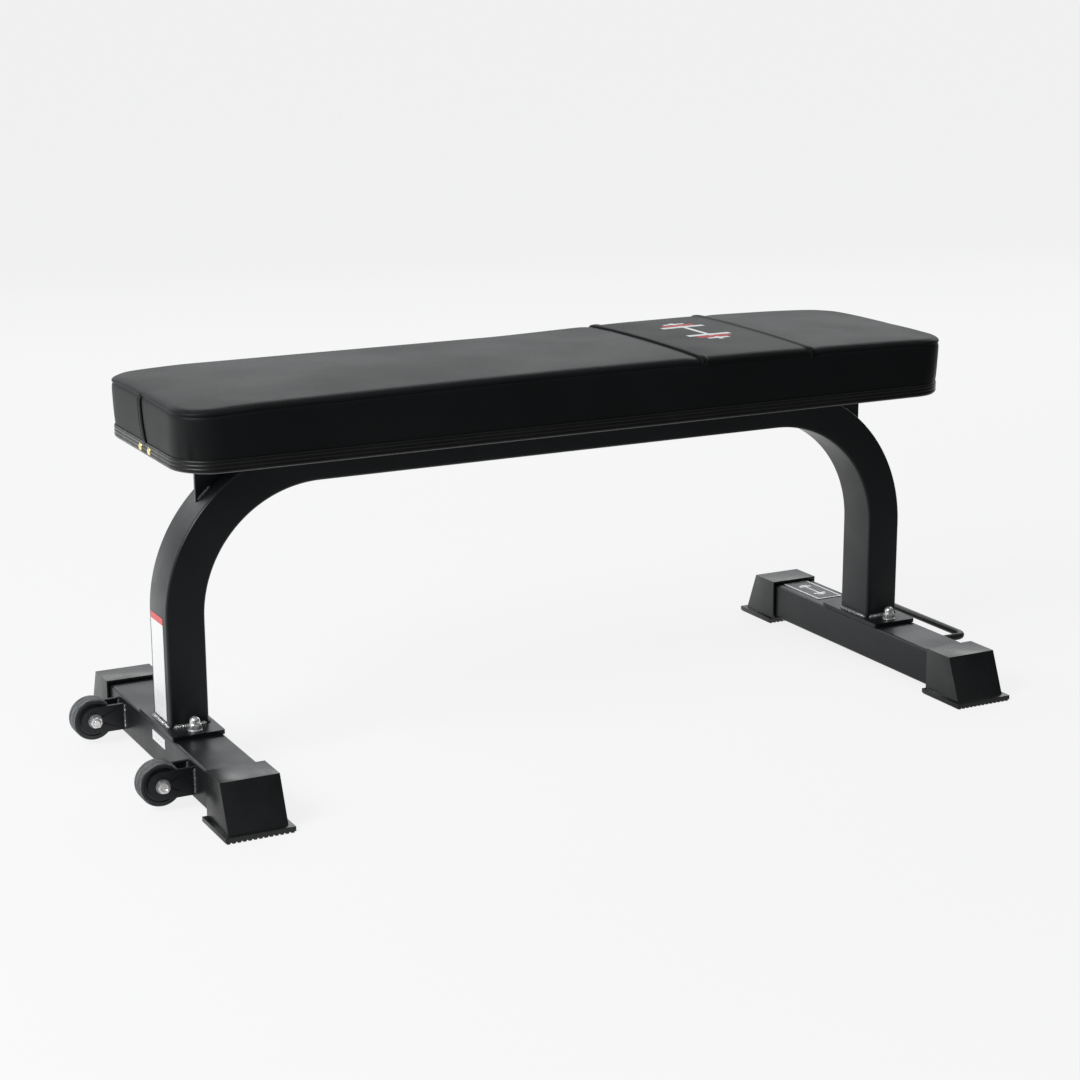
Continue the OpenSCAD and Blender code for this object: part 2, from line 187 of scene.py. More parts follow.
def wheelPlastic():
    material, w, place = newMaterial("wheelPlastic")
    fine = w.noise(place, 1100, 2)
    flow = w.noise(w.stretched(place, (60, 260, 60)), 1.0, 3)
    return surface(material, w, w.tint(flow.between(0.35, 0.7), (0.014, 0.016, 0.02), (0.026, 0.029, 0.034)),
                   flow.between(0.3, 0.7, 0.34, 0.44), fine, 0.00004, 0.4, IOR=1.49)


def treadRubber():
    material, w, place = newMaterial("treadRubber")
    fine = w.noise(place, 1400, 3, 0.6)
    scuff = w.noise(w.stretched(place, (60, 1500, 60)), 1.0, 4, 0.6).between(0.42, 0.66)
    return surface(material, w, w.tint(scuff, (0.035, 0.038, 0.041), (0.26, 0.27, 0.28)),
                   fine.between(0.3, 0.7, 0.5, 0.66), fine, 0.00008, 0.6, IOR=1.5)


def platedSteel(name, colour, rough):  # zinc plating with faint passivate colour and fine scratches
    material, w, place = newMaterial(name)
    cloud = w.noise(place, 130, 3)
    scratch = w.noise(w.stretched(place, (3200, 260, 900)), 1.0, 2).between(0.55, 0.75)
    warm = (colour[0], colour[1] * 0.97, colour[2] * 0.9)
    return surface(material, w, w.tint(cloud.between(0.4, 0.65), colour, warm),
                   cloud.between(0.3, 0.7, rough - 0.05, rough + 0.06) + scratch * 0.08,
                   scratch + cloud * 0.3, 0.00002, 0.4, Metallic=0.8)


def vinyl(name, colour, rough, grainSize, depth, shine):  # coated cloth with a pebbled leather grain
    material, w, place = newMaterial(name)
    bend = w.noise(place, 180, 2)
    moved = w.add("ShaderNodeVectorMath", {"operation": "MULTIPLY_ADD"},
                  {0: bend.other("Color"), 1: (0.002, 0.002, 0.002), 2: place})
    pebble = w.add("ShaderNodeTexVoronoi", {"feature": "SMOOTH_F1"},
                   {"Vector": moved, "Scale": 1 / grainSize, "Smoothness": 0.6, "Randomness": 0.9})
    crease = w.noise(w.stretched(place, (45, 120, 60)), 1.0, 4, 0.6)
    pore = w.noise(place, 2.4 / grainSize, 2)
    broad = w.noise(place, 7, 3)
    height = pebble * 0.8 + pore * 0.25 + crease * 0.8
    pale = tuple(c * 1.35 + 0.0015 for c in colour)
    tone = w.tint(broad.between(0.35, 0.7) * 0.6 + pebble * 0.3, colour, pale)
    return surface(material, w, tone, broad.between(0.3, 0.7, rough - 0.03, rough + 0.04) + pebble * 0.08,
                   height, depth, 0.55, IOR=1.5, Specular_IOR_Level=shine)


def markedVinyl(mark):  # the band's vinyl with a plain barbell printed on it
    material = vinyl("bandVinyl", (0.0074, 0.0082, 0.0086), 0.45, 0.0011, 0.00007, 0.11)
    w = Wire(material.node_tree)
    place = w.add("ShaderNodeTexCoord", out="Object")
    x, y, z = w.parts(place)
    along = abs(y - mark["y"])
    across = abs(x - mark["x"])
    bar = (along < mark["barHalf"]) * (across < mark["barThick"] / 2)
    white = bar
    red = None
    for centre, thick, half, isRed in mark["plates"]:
        plate = along.near(centre, thick / 2) * (across < half)
        if isRed:
            red = plate
        else:
            white = white.maths("MAXIMUM", white, plate)
    printed = (z > mark["above"]) * 1.0
    shader = next(n for n in material.node_tree.nodes if n.type == "BSDF_PRINCIPLED")
    base = Wire(material.node_tree, shader.inputs["Base Color"].links[0].from_socket)
    worn = w.noise(place, 700, 3).between(0.2, 0.3)
    tone = w.tint(white * printed * worn, base, (0.9, 0.9, 0.9))
    tone = w.tint(red * printed * worn, tone, (0.62, 0.03, 0.026))
    w.feed(shader.inputs["Base Color"], tone)
    return material


def threadCotton():
    material, w, place = newMaterial("threadBlack")
    twist = w.noise(place, 5200, 2)
    return surface(material, w, w.tint(twist, (0.008, 0.008, 0.008), (0.035, 0.035, 0.036)), 0.6,
                   twist, 0.00008, 0.6, IOR=1.5, Sheen_Weight=0.2)


def brassSkin():
    material, w, place = newMaterial("brass")
    cloud = w.noise(place, 420, 3)
    return surface(material, w, w.tint(cloud.between(0.35, 0.7), (0.92, 0.82, 0.42), (0.8, 0.66, 0.3)),
                   cloud.between(0.3, 0.7, 0.26, 0.38), cloud, 0.00003, 0.5, Metallic=0.85)


def backingFelt():  # pressed white backing sheet
    material, w, place = newMaterial("backingSheet")
    fibre = w.noise(w.stretched(place, (700, 700, 2600)), 1.0, 4, 0.7)
    dapple = w.add("ShaderNodeTexVoronoi", None, {"Vector": place, "Scale": 420.0})
    return surface(material, w, w.tint(fibre.between(0.35, 0.7), (0.52, 0.53, 0.53), (0.66, 0.67, 0.67)),
                   0.75, fibre + dapple * 0.6, 0.0001, 0.7, IOR=1.45)


def plywood():
    material, w, place = newMaterial("plywood")
    x, y, z = w.parts(place)
    wave = w.noise(w.stretched(place, (3, 26, 26)), 1.0, 4, 0.6)
    grain = w.noise(w.stretched(place, (24, 900, 900)), 1.0, 3, 0.6)
    ply = w.maths("SINE", z * (2 * math.pi / 0.003))
    face = w.tint(grain.between(0.3, 0.75), (0.58, 0.38, 0.2), (0.36, 0.21, 0.1))
    tone = w.tint(ply.between(-0.3, 0.3) * 0.25 + wave.between(0.4, 0.65) * 0.3, face, (0.27, 0.15, 0.07))
    return surface(material, w, tone, 0.62, grain, 0.0001, 0.6, IOR=1.45)


def openFoam():
    material, w, place = newMaterial("foam")
    cell = w.add("ShaderNodeTexVoronoi", None, {"Vector": place, "Scale": 900.0})
    patch = w.noise(place, 30, 3)
    return surface(material, w, w.tint(patch.between(0.35, 0.7), (0.62, 0.58, 0.36), (0.7, 0.66, 0.45)),
                   0.9, cell, 0.0004, 0.8, IOR=1.4)


def bushSteel():
    material, w, place = newMaterial("bushSteel")
    turn = w.noise(w.stretched(place, (300, 5200, 300)), 1.0, 2)
    return surface(material, w, w.tint(turn, (0.5, 0.5, 0.5), (0.6, 0.6, 0.6)),
                   turn.between(0.3, 0.7, 0.24, 0.36), turn, 0.00002, 0.5, Metallic=1.0)


def legSticker(box, bandHeight):  # white film with a coloured head and a few plain rules
    material, w, place = newMaterial("legSticker")
    low, high = box
    x, y, z = w.parts(place)
    film = w.noise(place, 240, 3)
    head = (z > high.z - bandHeight) * 1.0
    foot = (z < low.z + 0.03) * (z > low.z + 0.012)
    rules = (w.maths("SINE", z * (2 * math.pi / 0.003)) > 0.6) * foot
    inset = abs(y - (low.y + high.y) / 2) < (high.y - low.y) / 2 - 0.008
    white = w.tint(film, (0.83, 0.84, 0.84), (0.9, 0.91, 0.91))
    tone = w.tint(rules * inset * 0.3, white, (0.35, 0.37, 0.36))
    tone = w.tint(head, tone, (0.72, 0.055, 0.06))
    return surface(material, w, tone, film.between(0.3, 0.7, 0.3, 0.4), film, 0.00002, 0.3, IOR=1.46)


def footSticker(box):
    material, w, place = newMaterial("footSticker")
    low, high = box
    x, y, z = w.parts(place)
    film = w.noise(place, 240, 3)
    dash = (w.maths("SINE", y * (2 * math.pi / 0.009)) > 0.3) * z.near((low.z + high.z) / 2, 0.0012)
    inset = abs(y - (low.y + high.y) / 2) < (high.y - low.y) / 2 - 0.008
    white = w.tint(film, (0.83, 0.84, 0.84), (0.9, 0.91, 0.91))
    return surface(material, w, w.tint(dash * inset * 0.35, white, (0.3, 0.3, 0.3)),
                   film.between(0.3, 0.7, 0.3, 0.4), film, 0.00002, 0.3, IOR=1.46)


def plateSkin(box, border):  # dark enamel with a bright rim and a small plain barbell
    material, w, place = newMaterial("plateSkin")
    low, high = box
    x, y, z = w.parts(place)
    fromMiddleX = abs(x - (low.x + high.x) / 2)
    fromMiddleY = abs(y - (low.y + high.y) / 2)
    halfX, halfY = (high.x - low.x) / 2, (high.y - low.y) / 2
    rim = 1 - (fromMiddleX < halfX - border) * (fromMiddleY < halfY - border)
    bar = (fromMiddleX < 0.0012) * (fromMiddleY < 0.026)
    discs = fromMiddleY.near(0.018, 0.002) * (fromMiddleX < 0.009)
    ends = fromMiddleY.near(0.0228, 0.0012) * (fromMiddleX < 0.006)
    bright = w.maths("MAXIMUM", w.maths("MAXIMUM", rim, bar), w.maths("MAXIMUM", discs, ends))
    brush = w.noise(w.stretched(place, (2600, 60, 200)), 1.0, 3)
    dark = w.tint(brush, (0.055, 0.056, 0.058), (0.085, 0.086, 0.088))
    return surface(material, w, w.tint(bright, dark, (0.72, 0.73, 0.74)), brush.between(0.3, 0.7, 0.28, 0.42),
                   brush, 0.00002, 0.4, {"Metallic": bright * 0.9}, IOR=1.5)


mark = {  # the plain barbell printed on the band, lying across the pad
    "x": 0.2215, "y": 0.018, "above": 0.43, "barHalf": 0.063, "barThick": 0.0066,
    "plates": [  # distance from the middle, thickness, half height, red or white
        (0.0315, 0.0095, 0.03, False), (0.0435, 0.0105, 0.0225, True), (0.0545, 0.0065, 0.0145, False)],
}
labelHead = 0.008
plateBorder = 0.0022
paintBlack = powderCoat("framePaint", (0.0062, 0.0080, 0.0098), 0.36)
handleBlack = powderCoat("handlePaint", (0.012, 0.013, 0.014), 0.34, 0.8)
weldPaint = weldSkin("weldSkin", 0.52, 0.7)
weldBare = weldSkin("bareWeld", 0.36, 0.56)
bootBlack = mouldedRubber("bootRubber", (0.0062, 0.0069, 0.0075), 0.3, 0.06, 0.6)
trimBlack = mouldedRubber("trimStrip", (0.0045, 0.0048, 0.0052), 0.34, 0.4, 0.36)
wheelBlack = wheelPlastic()
treadGrey = treadRubber()
zincBright = platedSteel("brightZinc", (0.86, 0.87, 0.89), 0.22)
zincDull = platedSteel("dullZinc", (0.62, 0.63, 0.64), 0.34)
# darker zinc for the axle washers: painted shade round the axle nut and bolt heads, standing in for the
# contact shadow there
paintedShadeZinc = platedSteel("washerZincPaintedShade", (0.3, 0.31, 0.32), 0.3)
padBlack = vinyl("padVinyl", (0.0085, 0.0096, 0.0101), 0.43, 0.0016, 0.0001, 0.15)
bandBlack = markedVinyl(mark)
threadBlack = threadCotton()
brassYellow = brassSkin()
feltWhite = backingFelt()
woodPly = plywood()
foamYellow = openFoam()
steelBush = bushSteel()
print("materials made")


# mesh helpers

def putIn(obj):
    scene.collection.objects.link(obj)
    return obj


def shade(obj, angle=35):
    obj.data.shade_smooth()
    obj.data.set_sharp_from_angle(angle=math.radians(angle))
    return obj


def meshPiece(name, verts, faces, material, angle=35):
    mesh = bpy.data.meshes.new(name)
    mesh.from_pydata([tuple(v) for v in verts], [], faces)
    mesh.validate()
    mesh.materials.append(material)
    return shade(putIn(bpy.data.objects.new(name, mesh)), angle)


def flatten(obj, angle=None):  # turns an object with modifiers into a plain mesh of the same name
    depsgraph = bpy.context.evaluated_depsgraph_get()
    depsgraph.update()
    mesh = bpy.data.meshes.new_from_object(obj.evaluated_get(depsgraph), depsgraph=depsgraph)
    name = obj.name
    bpy.data.objects.remove(obj)
    made = putIn(bpy.data.objects.new(name, mesh))
    mesh.name = name
    if angle is not None:
        shade(made, angle)
    return made


def bevelled(obj, width, segments=2, angle=40):
    bevel = obj.modifiers.new("soft edges", "BEVEL")
    bevel.width = width
    bevel.segments = segments
    bevel.limit_method = "ANGLE"
    bevel.angle_limit = math.radians(angle)
    return obj


def smoothed(obj, angle=None):  # one round of subdivision
    smooth = obj.modifiers.new("smooth", "SUBSURF")
    smooth.levels = smooth.render_levels = 1
    return flatten(obj, angle)


def welded(obj, angle):  # merges the points that lie on one another
    merge = obj.modifiers.new("merge", "WELD")
    merge.merge_threshold = 0.000001
    return flatten(obj, angle)


def joined(name, objects):
    verts, faces, smooth = [], [], []
    materials = []
    slots = []
    for obj in objects:
        base = len(verts)
        verts += [tuple(v.co) for v in obj.data.vertices]
        for face in obj.data.polygons:
            faces.append([base + v for v in face.vertices])
            smooth.append(face.use_smooth)
            material = obj.data.materials[face.material_index]
            if material not in materials:
                materials.append(material)
            slots.append(materials.index(material))
        bpy.data.objects.remove(obj)
    mesh = bpy.data.meshes.new(name)
    mesh.from_pydata(verts, [], faces)
    for material in materials:
        mesh.materials.append(material)
    mesh.polygons.foreach_set("material_index", slots)
    mesh.polygons.foreach_set("use_smooth", smooth)
    mesh.set_sharp_from_angle(angle=math.radians(35))
    return putIn(bpy.data.objects.new(name, mesh))


def settle(piece, body, slotName, *nodes):  # attaches a finished piece to its body and hides the carried-over parts it replaces
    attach(piece, body)
    if nodes:
        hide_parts(*nodes)
    return piece


def turned(name, profile, material, place, steps=48, apothem=None, hexTo=None, angle=35):
    # profile is (radius, height) from one end of the axis to the other, and apothem cuts a hexagon
    verts, faces = [], []
    rings = []
    for radius, height in profile:
        if radius < 1e-7:
            verts.append(place @ Vector((0, 0, height)))
            rings.append([len(verts) - 1])
            continue
        ring = []
        for step in range(steps):
            turn = 2 * math.pi * step / steps
            reach = radius
            if apothem and (hexTo is None or height <= hexTo):
                reach = min(radius, apothem / math.cos((turn % (math.pi / 3)) - math.pi / 6))
            verts.append(place @ Vector((reach * math.cos(turn), reach * math.sin(turn), height)))
            ring.append(len(verts) - 1)
        rings.append(ring)
    for low, high in zip(rings, rings[1:]):
        for step in range(steps):
            after = (step + 1) % steps
            if len(low) == 1:
                faces.append([low[0], high[after], high[step]])
            elif len(high) == 1:
                faces.append([low[step], low[after], high[0]])
            else:
                faces.append([low[step], low[after], high[after], high[step]])
    if place.determinant() < 0:
        faces = [face[::-1] for face in faces]
    return meshPiece(name, verts, faces, material, angle)


def arc(centreR, centreZ, radius, first, last, steps):  # points of a profile, angles in degrees
    turns = [math.radians(first + (last - first) * i / steps) for i in range(steps + 1)]
    return [(centreR + radius * math.cos(t), centreZ + radius * math.sin(t)) for t in turns]


def lying(x, y, z, outward):  # axis along Y, pointing to outward
    return Matrix.Translation((x, y, z)) @ Matrix.Rotation(-outward * math.pi / 2, 4, "X")


# geometry node trees

def newTree(name, inputs):
    tree = bpy.data.node_groups.new(name, "GeometryNodeTree")
    tree.interface.new_socket("Geometry", in_out="INPUT", socket_type="NodeSocketGeometry")
    for label, kind, value in inputs:
        socket = tree.interface.new_socket(label, in_out="INPUT", socket_type="NodeSocket" + kind)
        if value is not None:
            socket.default_value = value
    tree.interface.new_socket("Geometry", in_out="OUTPUT", socket_type="NodeSocketGeometry")
    wire = Wire(tree)
    return tree, wire, wire.add("NodeGroupInput")


def endTree(wire, geometry, material):
    solid = wire.add("GeometryNodeRealizeInstances", None, {"Geometry": geometry})
    dressed = wire.add("GeometryNodeSetMaterial", None, {"Geometry": solid, "Material": material})
    wire.add("NodeGroupOutput", None, {0: dressed})


def pathCurves(name, runs, closed=False):
    curve = bpy.data.curves.new(name, "CURVE")
    curve.dimensions = "3D"
    for points in runs:
        spline = curve.splines.new("POLY")
        spline.points.add(len(points) - 1)
        for point, place in zip(spline.points, points):
            point.co = (*place, 1)
        spline.use_cyclic_u = closed
    return putIn(bpy.data.objects.new(name, curve))


def grown(obj, tree, values, angle=None):  # runs a tree on an object and keeps the plain mesh
    modifier = obj.modifiers.new(tree.name, "NODES")
    modifier.node_group = tree
    names = {item.name: item.identifier for item in tree.interface.items_tree if item.in_out == "INPUT"}
    for name, value in values.items():
        modifier[names[name]] = value
    return flatten(obj, angle)


def bentTubeTree():  # a rectangular tube along a path with rounded bends
    inputs = [("Bend radius", "Float", 0.17), ("Bend steps", "Int", 40), ("Wide", "Float", 0.06),
              ("Deep", "Float", 0.043), ("Corner", "Float", 0.0035), ("Corner steps", "Int", 6),
              ("Material", "Material", None)]
    tree, w, start = newTree("bentTube", inputs)
    bent = w.add("GeometryNodeFilletCurve", {"mode": "POLY"},
                 {"Curve": start, "Count": start.other("Bend steps"), "Radius": start.other("Bend radius")})
    upright = w.add("GeometryNodeSetCurveNormal", {"mode": "FREE"}, {"Curve": bent, "Normal": (0, 1, 0)})
    section = w.add("GeometryNodeCurvePrimitiveQuadrilateral", None,
                    {"Width": start.other("Wide"), "Height": start.other("Deep")})
    soft = w.add("GeometryNodeFilletCurve", {"mode": "POLY"},
                 {"Curve": section, "Count": start.other("Corner steps"), "Radius": start.other("Corner")})
    sockets = {"Curve": upright, "Profile Curve": soft, "Fill Caps": True}
    endTree(w, w.add("GeometryNodeCurveToMesh", None, sockets), start.other("Material"))
    return tree


def beadTree():  # a weld bead: a run whose thickness ripples, with a seeded unevenness
    inputs = [("Radius", "Float", 0.002), ("Ripple", "Float", 0.0016), ("Uneven", "Float", 0.18),
              ("Sides", "Int", 10), ("Step", "Float", 0.0004), ("Material", "Material", None)]
    tree, w, start = newTree("weldBead", inputs)
    line = w.add("GeometryNodeResampleCurve", {"mode": "LENGTH"},
                 {"Curve": start, "Length": start.other("Step")})
    along = w.add("GeometryNodeSplineParameter", out="Length")
    factor = along.other("Factor")
    wave = abs(w.maths("SINE", along * math.pi / start.other("Ripple")))
    position = w.add("GeometryNodeInputPosition")
    uneven = w.add("ShaderNodeTexNoise", None, {"Vector": position, "Scale": 170.0, "Detail": 2.0})
    ends = w.maths("MINIMUM", w.maths("MINIMUM", factor, 1 - factor) * 14, 1.0) ** 0.5
    size = (0.8 + wave * 0.25 + (uneven - 0.5) * start.other("Uneven") * 4) * ends
    ring = w.add("GeometryNodeCurvePrimitiveCircle", None,
                 {"Resolution": start.other("Sides"), "Radius": start.other("Radius")})
    sockets = {"Curve": line, "Profile Curve": ring, "Scale": size, "Fill Caps": True}
    bead = w.add("GeometryNodeCurveToMesh", None, sockets)
    endTree(w, bead, start.other("Material"))
    return tree


def stitchTree():  # thread stitches laid end to end along a run
    inputs = [("Pitch", "Float", 0.0042), ("Long", "Float", 0.0032), ("Thick", "Float", 0.0006),
              ("Material", "Material", None)]
    tree, w, start = newTree("stitchRun", inputs)
    sockets = {"Curve": start, "Length": start.other("Pitch")}
    points = w.add("GeometryNodeCurveToPoints", {"mode": "LENGTH"}, sockets)
    size = w.add("ShaderNodeCombineXYZ", None, {0: start.other("Thick"), 1: start.other("Thick"),
                                                2: start.other("Long")})
    grain = w.add("GeometryNodeMeshUVSphere", None, {"Segments": 6, "Rings": 5, "Radius": 0.5})
    turn = w.add("FunctionNodeAlignRotationToVector", {"axis": "Z"}, {"Vector": points.other("Tangent")})
    each = w.add("GeometryNodeInstanceOnPoints", None,
                 {"Points": points, "Instance": grain, "Rotation": turn, "Scale": size})
    endTree(w, each, start.other("Material"))
    return tree


def ribTrimTree():  # a strip with rounded ribs along it, standing outside a path
    inputs = [("High", "Float", 0.0125), ("Ribs", "Int", 3), ("Base", "Float", 0.0006),
              ("Rib", "Float", 0.0011), ("Fine", "Int", 36), ("Material", "Material", None)]
    tree, w, start = newTree("ribTrim", inputs)
    top = w.add("ShaderNodeCombineXYZ", None, {1: -start.other("High")})
    line = w.add("GeometryNodeCurvePrimitiveLine", None, {"Start": (0, 0, 0), "End": top})
    fine = w.add("GeometryNodeResampleCurve", {"mode": "COUNT"},
                 {"Curve": line, "Count": start.other("Fine")})
    factor = w.add("GeometryNodeSplineParameter", out="Factor")
    wave = abs(w.maths("SINE", factor * math.pi * start.other("Ribs"))) ** 0.55
    out = start.other("Base") + wave * start.other("Rib")
    shift = w.add("ShaderNodeCombineXYZ", None, {0: out})
    section = w.add("GeometryNodeSetPosition", None, {"Geometry": fine, "Offset": shift})
    path = w.add("GeometryNodeSetCurveNormal", {"mode": "Z_UP"}, {"Curve": start})
    strip = w.add("GeometryNodeCurveToMesh", None, {"Curve": path, "Profile Curve": section})
    endTree(w, strip, start.other("Material"))
    return tree


def stapleTree():  # wire staples along a run
    inputs = [("Pitch", "Float", 0.042), ("Wide", "Float", 0.01), ("Wire", "Float", 0.0009),
              ("Material", "Material", None)]
    tree, w, start = newTree("stapleRun", inputs)
    sockets = {"Curve": start, "Length": start.other("Pitch")}
    points = w.add("GeometryNodeCurveToPoints", {"mode": "LENGTH"}, sockets)
    size = w.add("ShaderNodeCombineXYZ", None, {0: start.other("Wire"), 1: start.other("Wide"),
                                                2: start.other("Wire")})
    crown = w.add("GeometryNodeMeshCube", None, {"Size": size})
    spin = w.add("FunctionNodeRandomValue", {"data_type": "FLOAT"},
                 {"Min_001": -0.25, "Max_001": 0.25, "Seed": 7}, "Value_001")
    lean = w.add("ShaderNodeCombineXYZ", None, {2: spin})
    turn = w.add("FunctionNodeAlignRotationToVector", {"axis": "Y"}, {"Rotation": lean,
                                                                      "Vector": points.other("Tangent")})
    each = w.add("GeometryNodeInstanceOnPoints", None,
                 {"Points": points, "Instance": crown, "Rotation": turn})
    endTree(w, each, start.other("Material"))
    return tree


bentTube = bentTubeTree()
weldBead = beadTree()
stitchRun = stitchTree()
ribTrim = ribTrimTree()
stapleRun = stapleTree()
print("node trees made")


# camera, light and floor

view = {"place": (-1.264938, -2.435751, 0.916455), "yaw": 27.335, "pitch": -14.376, "roll": -0.2,
        "lens": 77.706}


def makeCamera():
    data = bpy.data.cameras.new("camera")
    data.sensor_width = 36
    data.lens = view["lens"]
    data.clip_end = 200
    yaw, pitch, roll = (math.radians(view[k]) for k in ("yaw", "pitch", "roll"))
    right = Vector((math.cos(yaw), -math.sin(yaw), 0))
    forward = Vector((math.sin(yaw) * math.cos(pitch), math.cos(yaw) * math.cos(pitch), math.sin(pitch)))
    up = right.cross(forward)
    side = right * math.cos(roll) + up * math.sin(roll)
    top = up * math.cos(roll) - right * math.sin(roll)
    camera = putIn(bpy.data.objects.new("camera", data))
    turn = Matrix((side, top, -forward)).transposed().to_4x4()
    camera.matrix_world = Matrix.Translation(view["place"]) @ turn
    scene.camera = camera


light = {
    "behind": 0.66, "front": 0.06, "above": 0.34, "backdrop": 0.96, "floorGlow": 0.83, "floorTone": 0.13,
    "floorBehind": 1.2, "floorFront": 0.06,
}
lamps = [  # name, place, aimed at, width, height, watts
    ("backPanel", (1.0, 3.0, 1.9), (0.3, 0.0, 0.3), 7.5, 1.1, 44),
    ("keyPanel", (-2.8, -1.0, 2.4), (-0.1, 0.0, 0.3), 1.8, 1.5, 78),
]


def makeLight():
    world = bpy.data.worlds.new("studio")
    world.use_nodes = True
    world.node_tree.nodes.clear()
    scene.world = world
    w = Wire(world.node_tree)
    direction = w.add("ShaderNodeTexCoord", out="Generated")
    x, y, z = w.parts(direction)
    side = (y - x * 0.25).between(-0.3, 0.4, light["front"], light["behind"])
    upper = z.between(0.4, 0.85)
    strength = side * (1 - upper) + upper * light["above"]
    room = w.add("ShaderNodeBackground", None, {"Color": (0.95, 0.985, 1.0), "Strength": strength})
    plain = w.add("ShaderNodeBackground", None, {"Color": (1, 1, 1), "Strength": light["backdrop"]})
    seen = w.add("ShaderNodeLightPath", out="Is Camera Ray")
    both = w.add("ShaderNodeMixShader", None, {0: seen, 1: room, 2: plain})
    w.add("ShaderNodeOutputWorld", None, {"Surface": both})
    for name, place, target, width, height, watts in lamps:
        data = bpy.data.lights.new(name, "AREA")
        data.shape = "RECTANGLE"
        data.size = width
        data.size_y = height
        data.energy = watts
        lamp = putIn(bpy.data.objects.new(name, data))
        lamp.location = place
        lamp.rotation_euler = (Vector(target) - Vector(place)).to_track_quat("-Z", "Y").to_euler()


def makeFloor():
    material, w, place = newMaterial("floorPale")
    tone = light["floorTone"]
    drift = w.noise(place, 0.4, 1)
    paper = w.tint(drift, (tone, tone, tone), (tone * 1.01, tone * 1.01, tone * 1.01))
    x, y, z = w.parts(place)
    sheet = w.add("ShaderNodeBsdfDiffuse", None, {"Color": paper})
    plain = w.add("ShaderNodeEmission", None, {"Color": (1, 1, 1), "Strength": light["floorGlow"]})
    lit = (y - x * 0.25).between(-1.0, 1.2)
    tint = w.tint(lit, (light["floorFront"],) * 3, (light["floorBehind"],) * 3)
    mirrored = w.add("ShaderNodeEmission", None, {"Color": tint})
    seen = w.add("ShaderNodeLightPath", out="Is Camera Ray")
    glow = w.add("ShaderNodeMixShader", None, {0: seen, 1: mirrored, 2: plain})
    both = w.add("ShaderNodeAddShader", None, {0: sheet, 1: glow})
    w.add("ShaderNodeOutputMaterial", None, {"Surface": both})
    half = 60
    verts = [(-half, -half, 0), (half, -half, 0), (half, half, 0), (-half, half, 0)]
    floor = meshPiece("floor", verts, [[0, 1, 2, 3]], material)


makeCamera()
makeLight()
makeFloor()
scene.view_settings.view_transform = "Standard"
print("camera, light and floor made")


# carried-over parts

def dress(node, material, width=None, segments=2):
    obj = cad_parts[node]
    obj.material_slots[0].material = material
    if width:
        weld = obj.modifiers.new("merge", "WELD")
        weld.merge_threshold = 0.00001
        bevelled(obj, width, segments)
    return obj


plainNodes = {  # node: material, width of its softened edges
    "gusset_left": (paintBlack, 0.0008), "gusset_right": (paintBlack, 0.0008),
    "base_plate_left": (paintBlack, 0.0008), "base_plate_right": (paintBlack, 0.0008),
    "pad_flat_left": (paintBlack, 0.0006), "pad_flat_right": (paintBlack, 0.0006),
    "cross_tube_left": (paintBlack, None), "cross_tube_right": (paintBlack, None),
    "base_bolts": (zincDull, None), "base_bolt_washers": (zincDull, 0.0003),
    "dome_washers": (zincBright, 0.0003),
    "wheel_lug_near_outer": (paintBlack, 0.0006), "wheel_lug_near_inner": (paintBlack, 0.0006),
    "wheel_lug_far_inner": (paintBlack, 0.0006), "wheel_lug_far_outer": (paintBlack, 0.0006),
    "wheel_bush_near": (steelBush, None), "wheel_bush_far": (steelBush, None),
    # the axle washers take the darker zinc, which is painted shade
    "axle_washers": (paintedShadeZinc, 0.0003), "pad_board": (woodPly, 0.0008), "pad_backing": (feltWhite, None),
    "tee_nuts": (zincDull, None), "pad_bolts": (zincDull, None), "pad_bolt_washers": (zincDull, 0.0003),
    "leg_label": (legSticker(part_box("leg_label"), labelHead), None),
    "foot_label": (footSticker(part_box("foot_label")), None),
    "name_plate": (plateSkin(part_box("name_plate"), plateBorder), None),
    "lift_handle": (handleBlack, None),
}
for node, (material, width) in plainNodes.items():
    dress(node, material, width)
print("carried-over parts dressed")


# the bent tube

tube = {"deep": 0.046, "corner": 0.0035, "bend": 0.190, "cornerSteps": 6, "bendSteps": 44}


def makeMainTube():
    low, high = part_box("main_tube")
    half = tube["deep"] / 2
    ends = [(low.x + half, 0, low.z), (low.x + half, 0, high.z - half),
            (high.x - half, 0, high.z - half), (high.x - half, 0, low.z)]
    run = pathCurves("bentTube", [ends])
    values = {"Bend radius": tube["bend"] - half, "Bend steps": tube["bendSteps"],
              "Wide": high.y - low.y, "Deep": tube["deep"], "Corner": tube["corner"],
              "Corner steps": tube["cornerSteps"], "Material": paintBlack}
    piece = grown(run, bentTube, values, 35)
    settle(piece, "frame", "frame_paint", "main_tube")


makeMainTube()
print("bent tube made")


# rubber boots

boot = {"topLong": 0.045, "lowLong": 0.066, "flange": 0.007, "top": 0.0586, "half": 0.034, "side": 0.0056,
        "end": 0.008, "tubeWide": 0.06, "tubeDeep": 0.046, "tubeLift": 0.008, "grip": 0.04,
        "mouthGap": 0.0009, "mouthDeep": 0.0025, "solePitch": 0.006, "soleRib": 0.0036, "soleDeep": 0.0016,
        "ribInset": 0.0006, "edge": 0.0015}


def boxMesh(name, low, high, material):
    verts = [(x, y, z) for x in (low[0], high[0]) for y in (low[1], high[1]) for z in (low[2], high[2])]
    faces = [[0, 1, 3, 2], [4, 6, 7, 5], [0, 4, 5, 1], [2, 3, 7, 6], [0, 2, 6, 4], [1, 5, 7, 3]]
    return meshPiece(name, verts, faces, material)


def cut(obj, tool, operation="DIFFERENCE"):
    modifier = obj.modifiers.new("cut", "BOOLEAN")
    modifier.operation = operation
    modifier.solver = "EXACT"
    modifier.object = tool
    made = flatten(obj)
    bpy.data.objects.remove(tool)
    return made


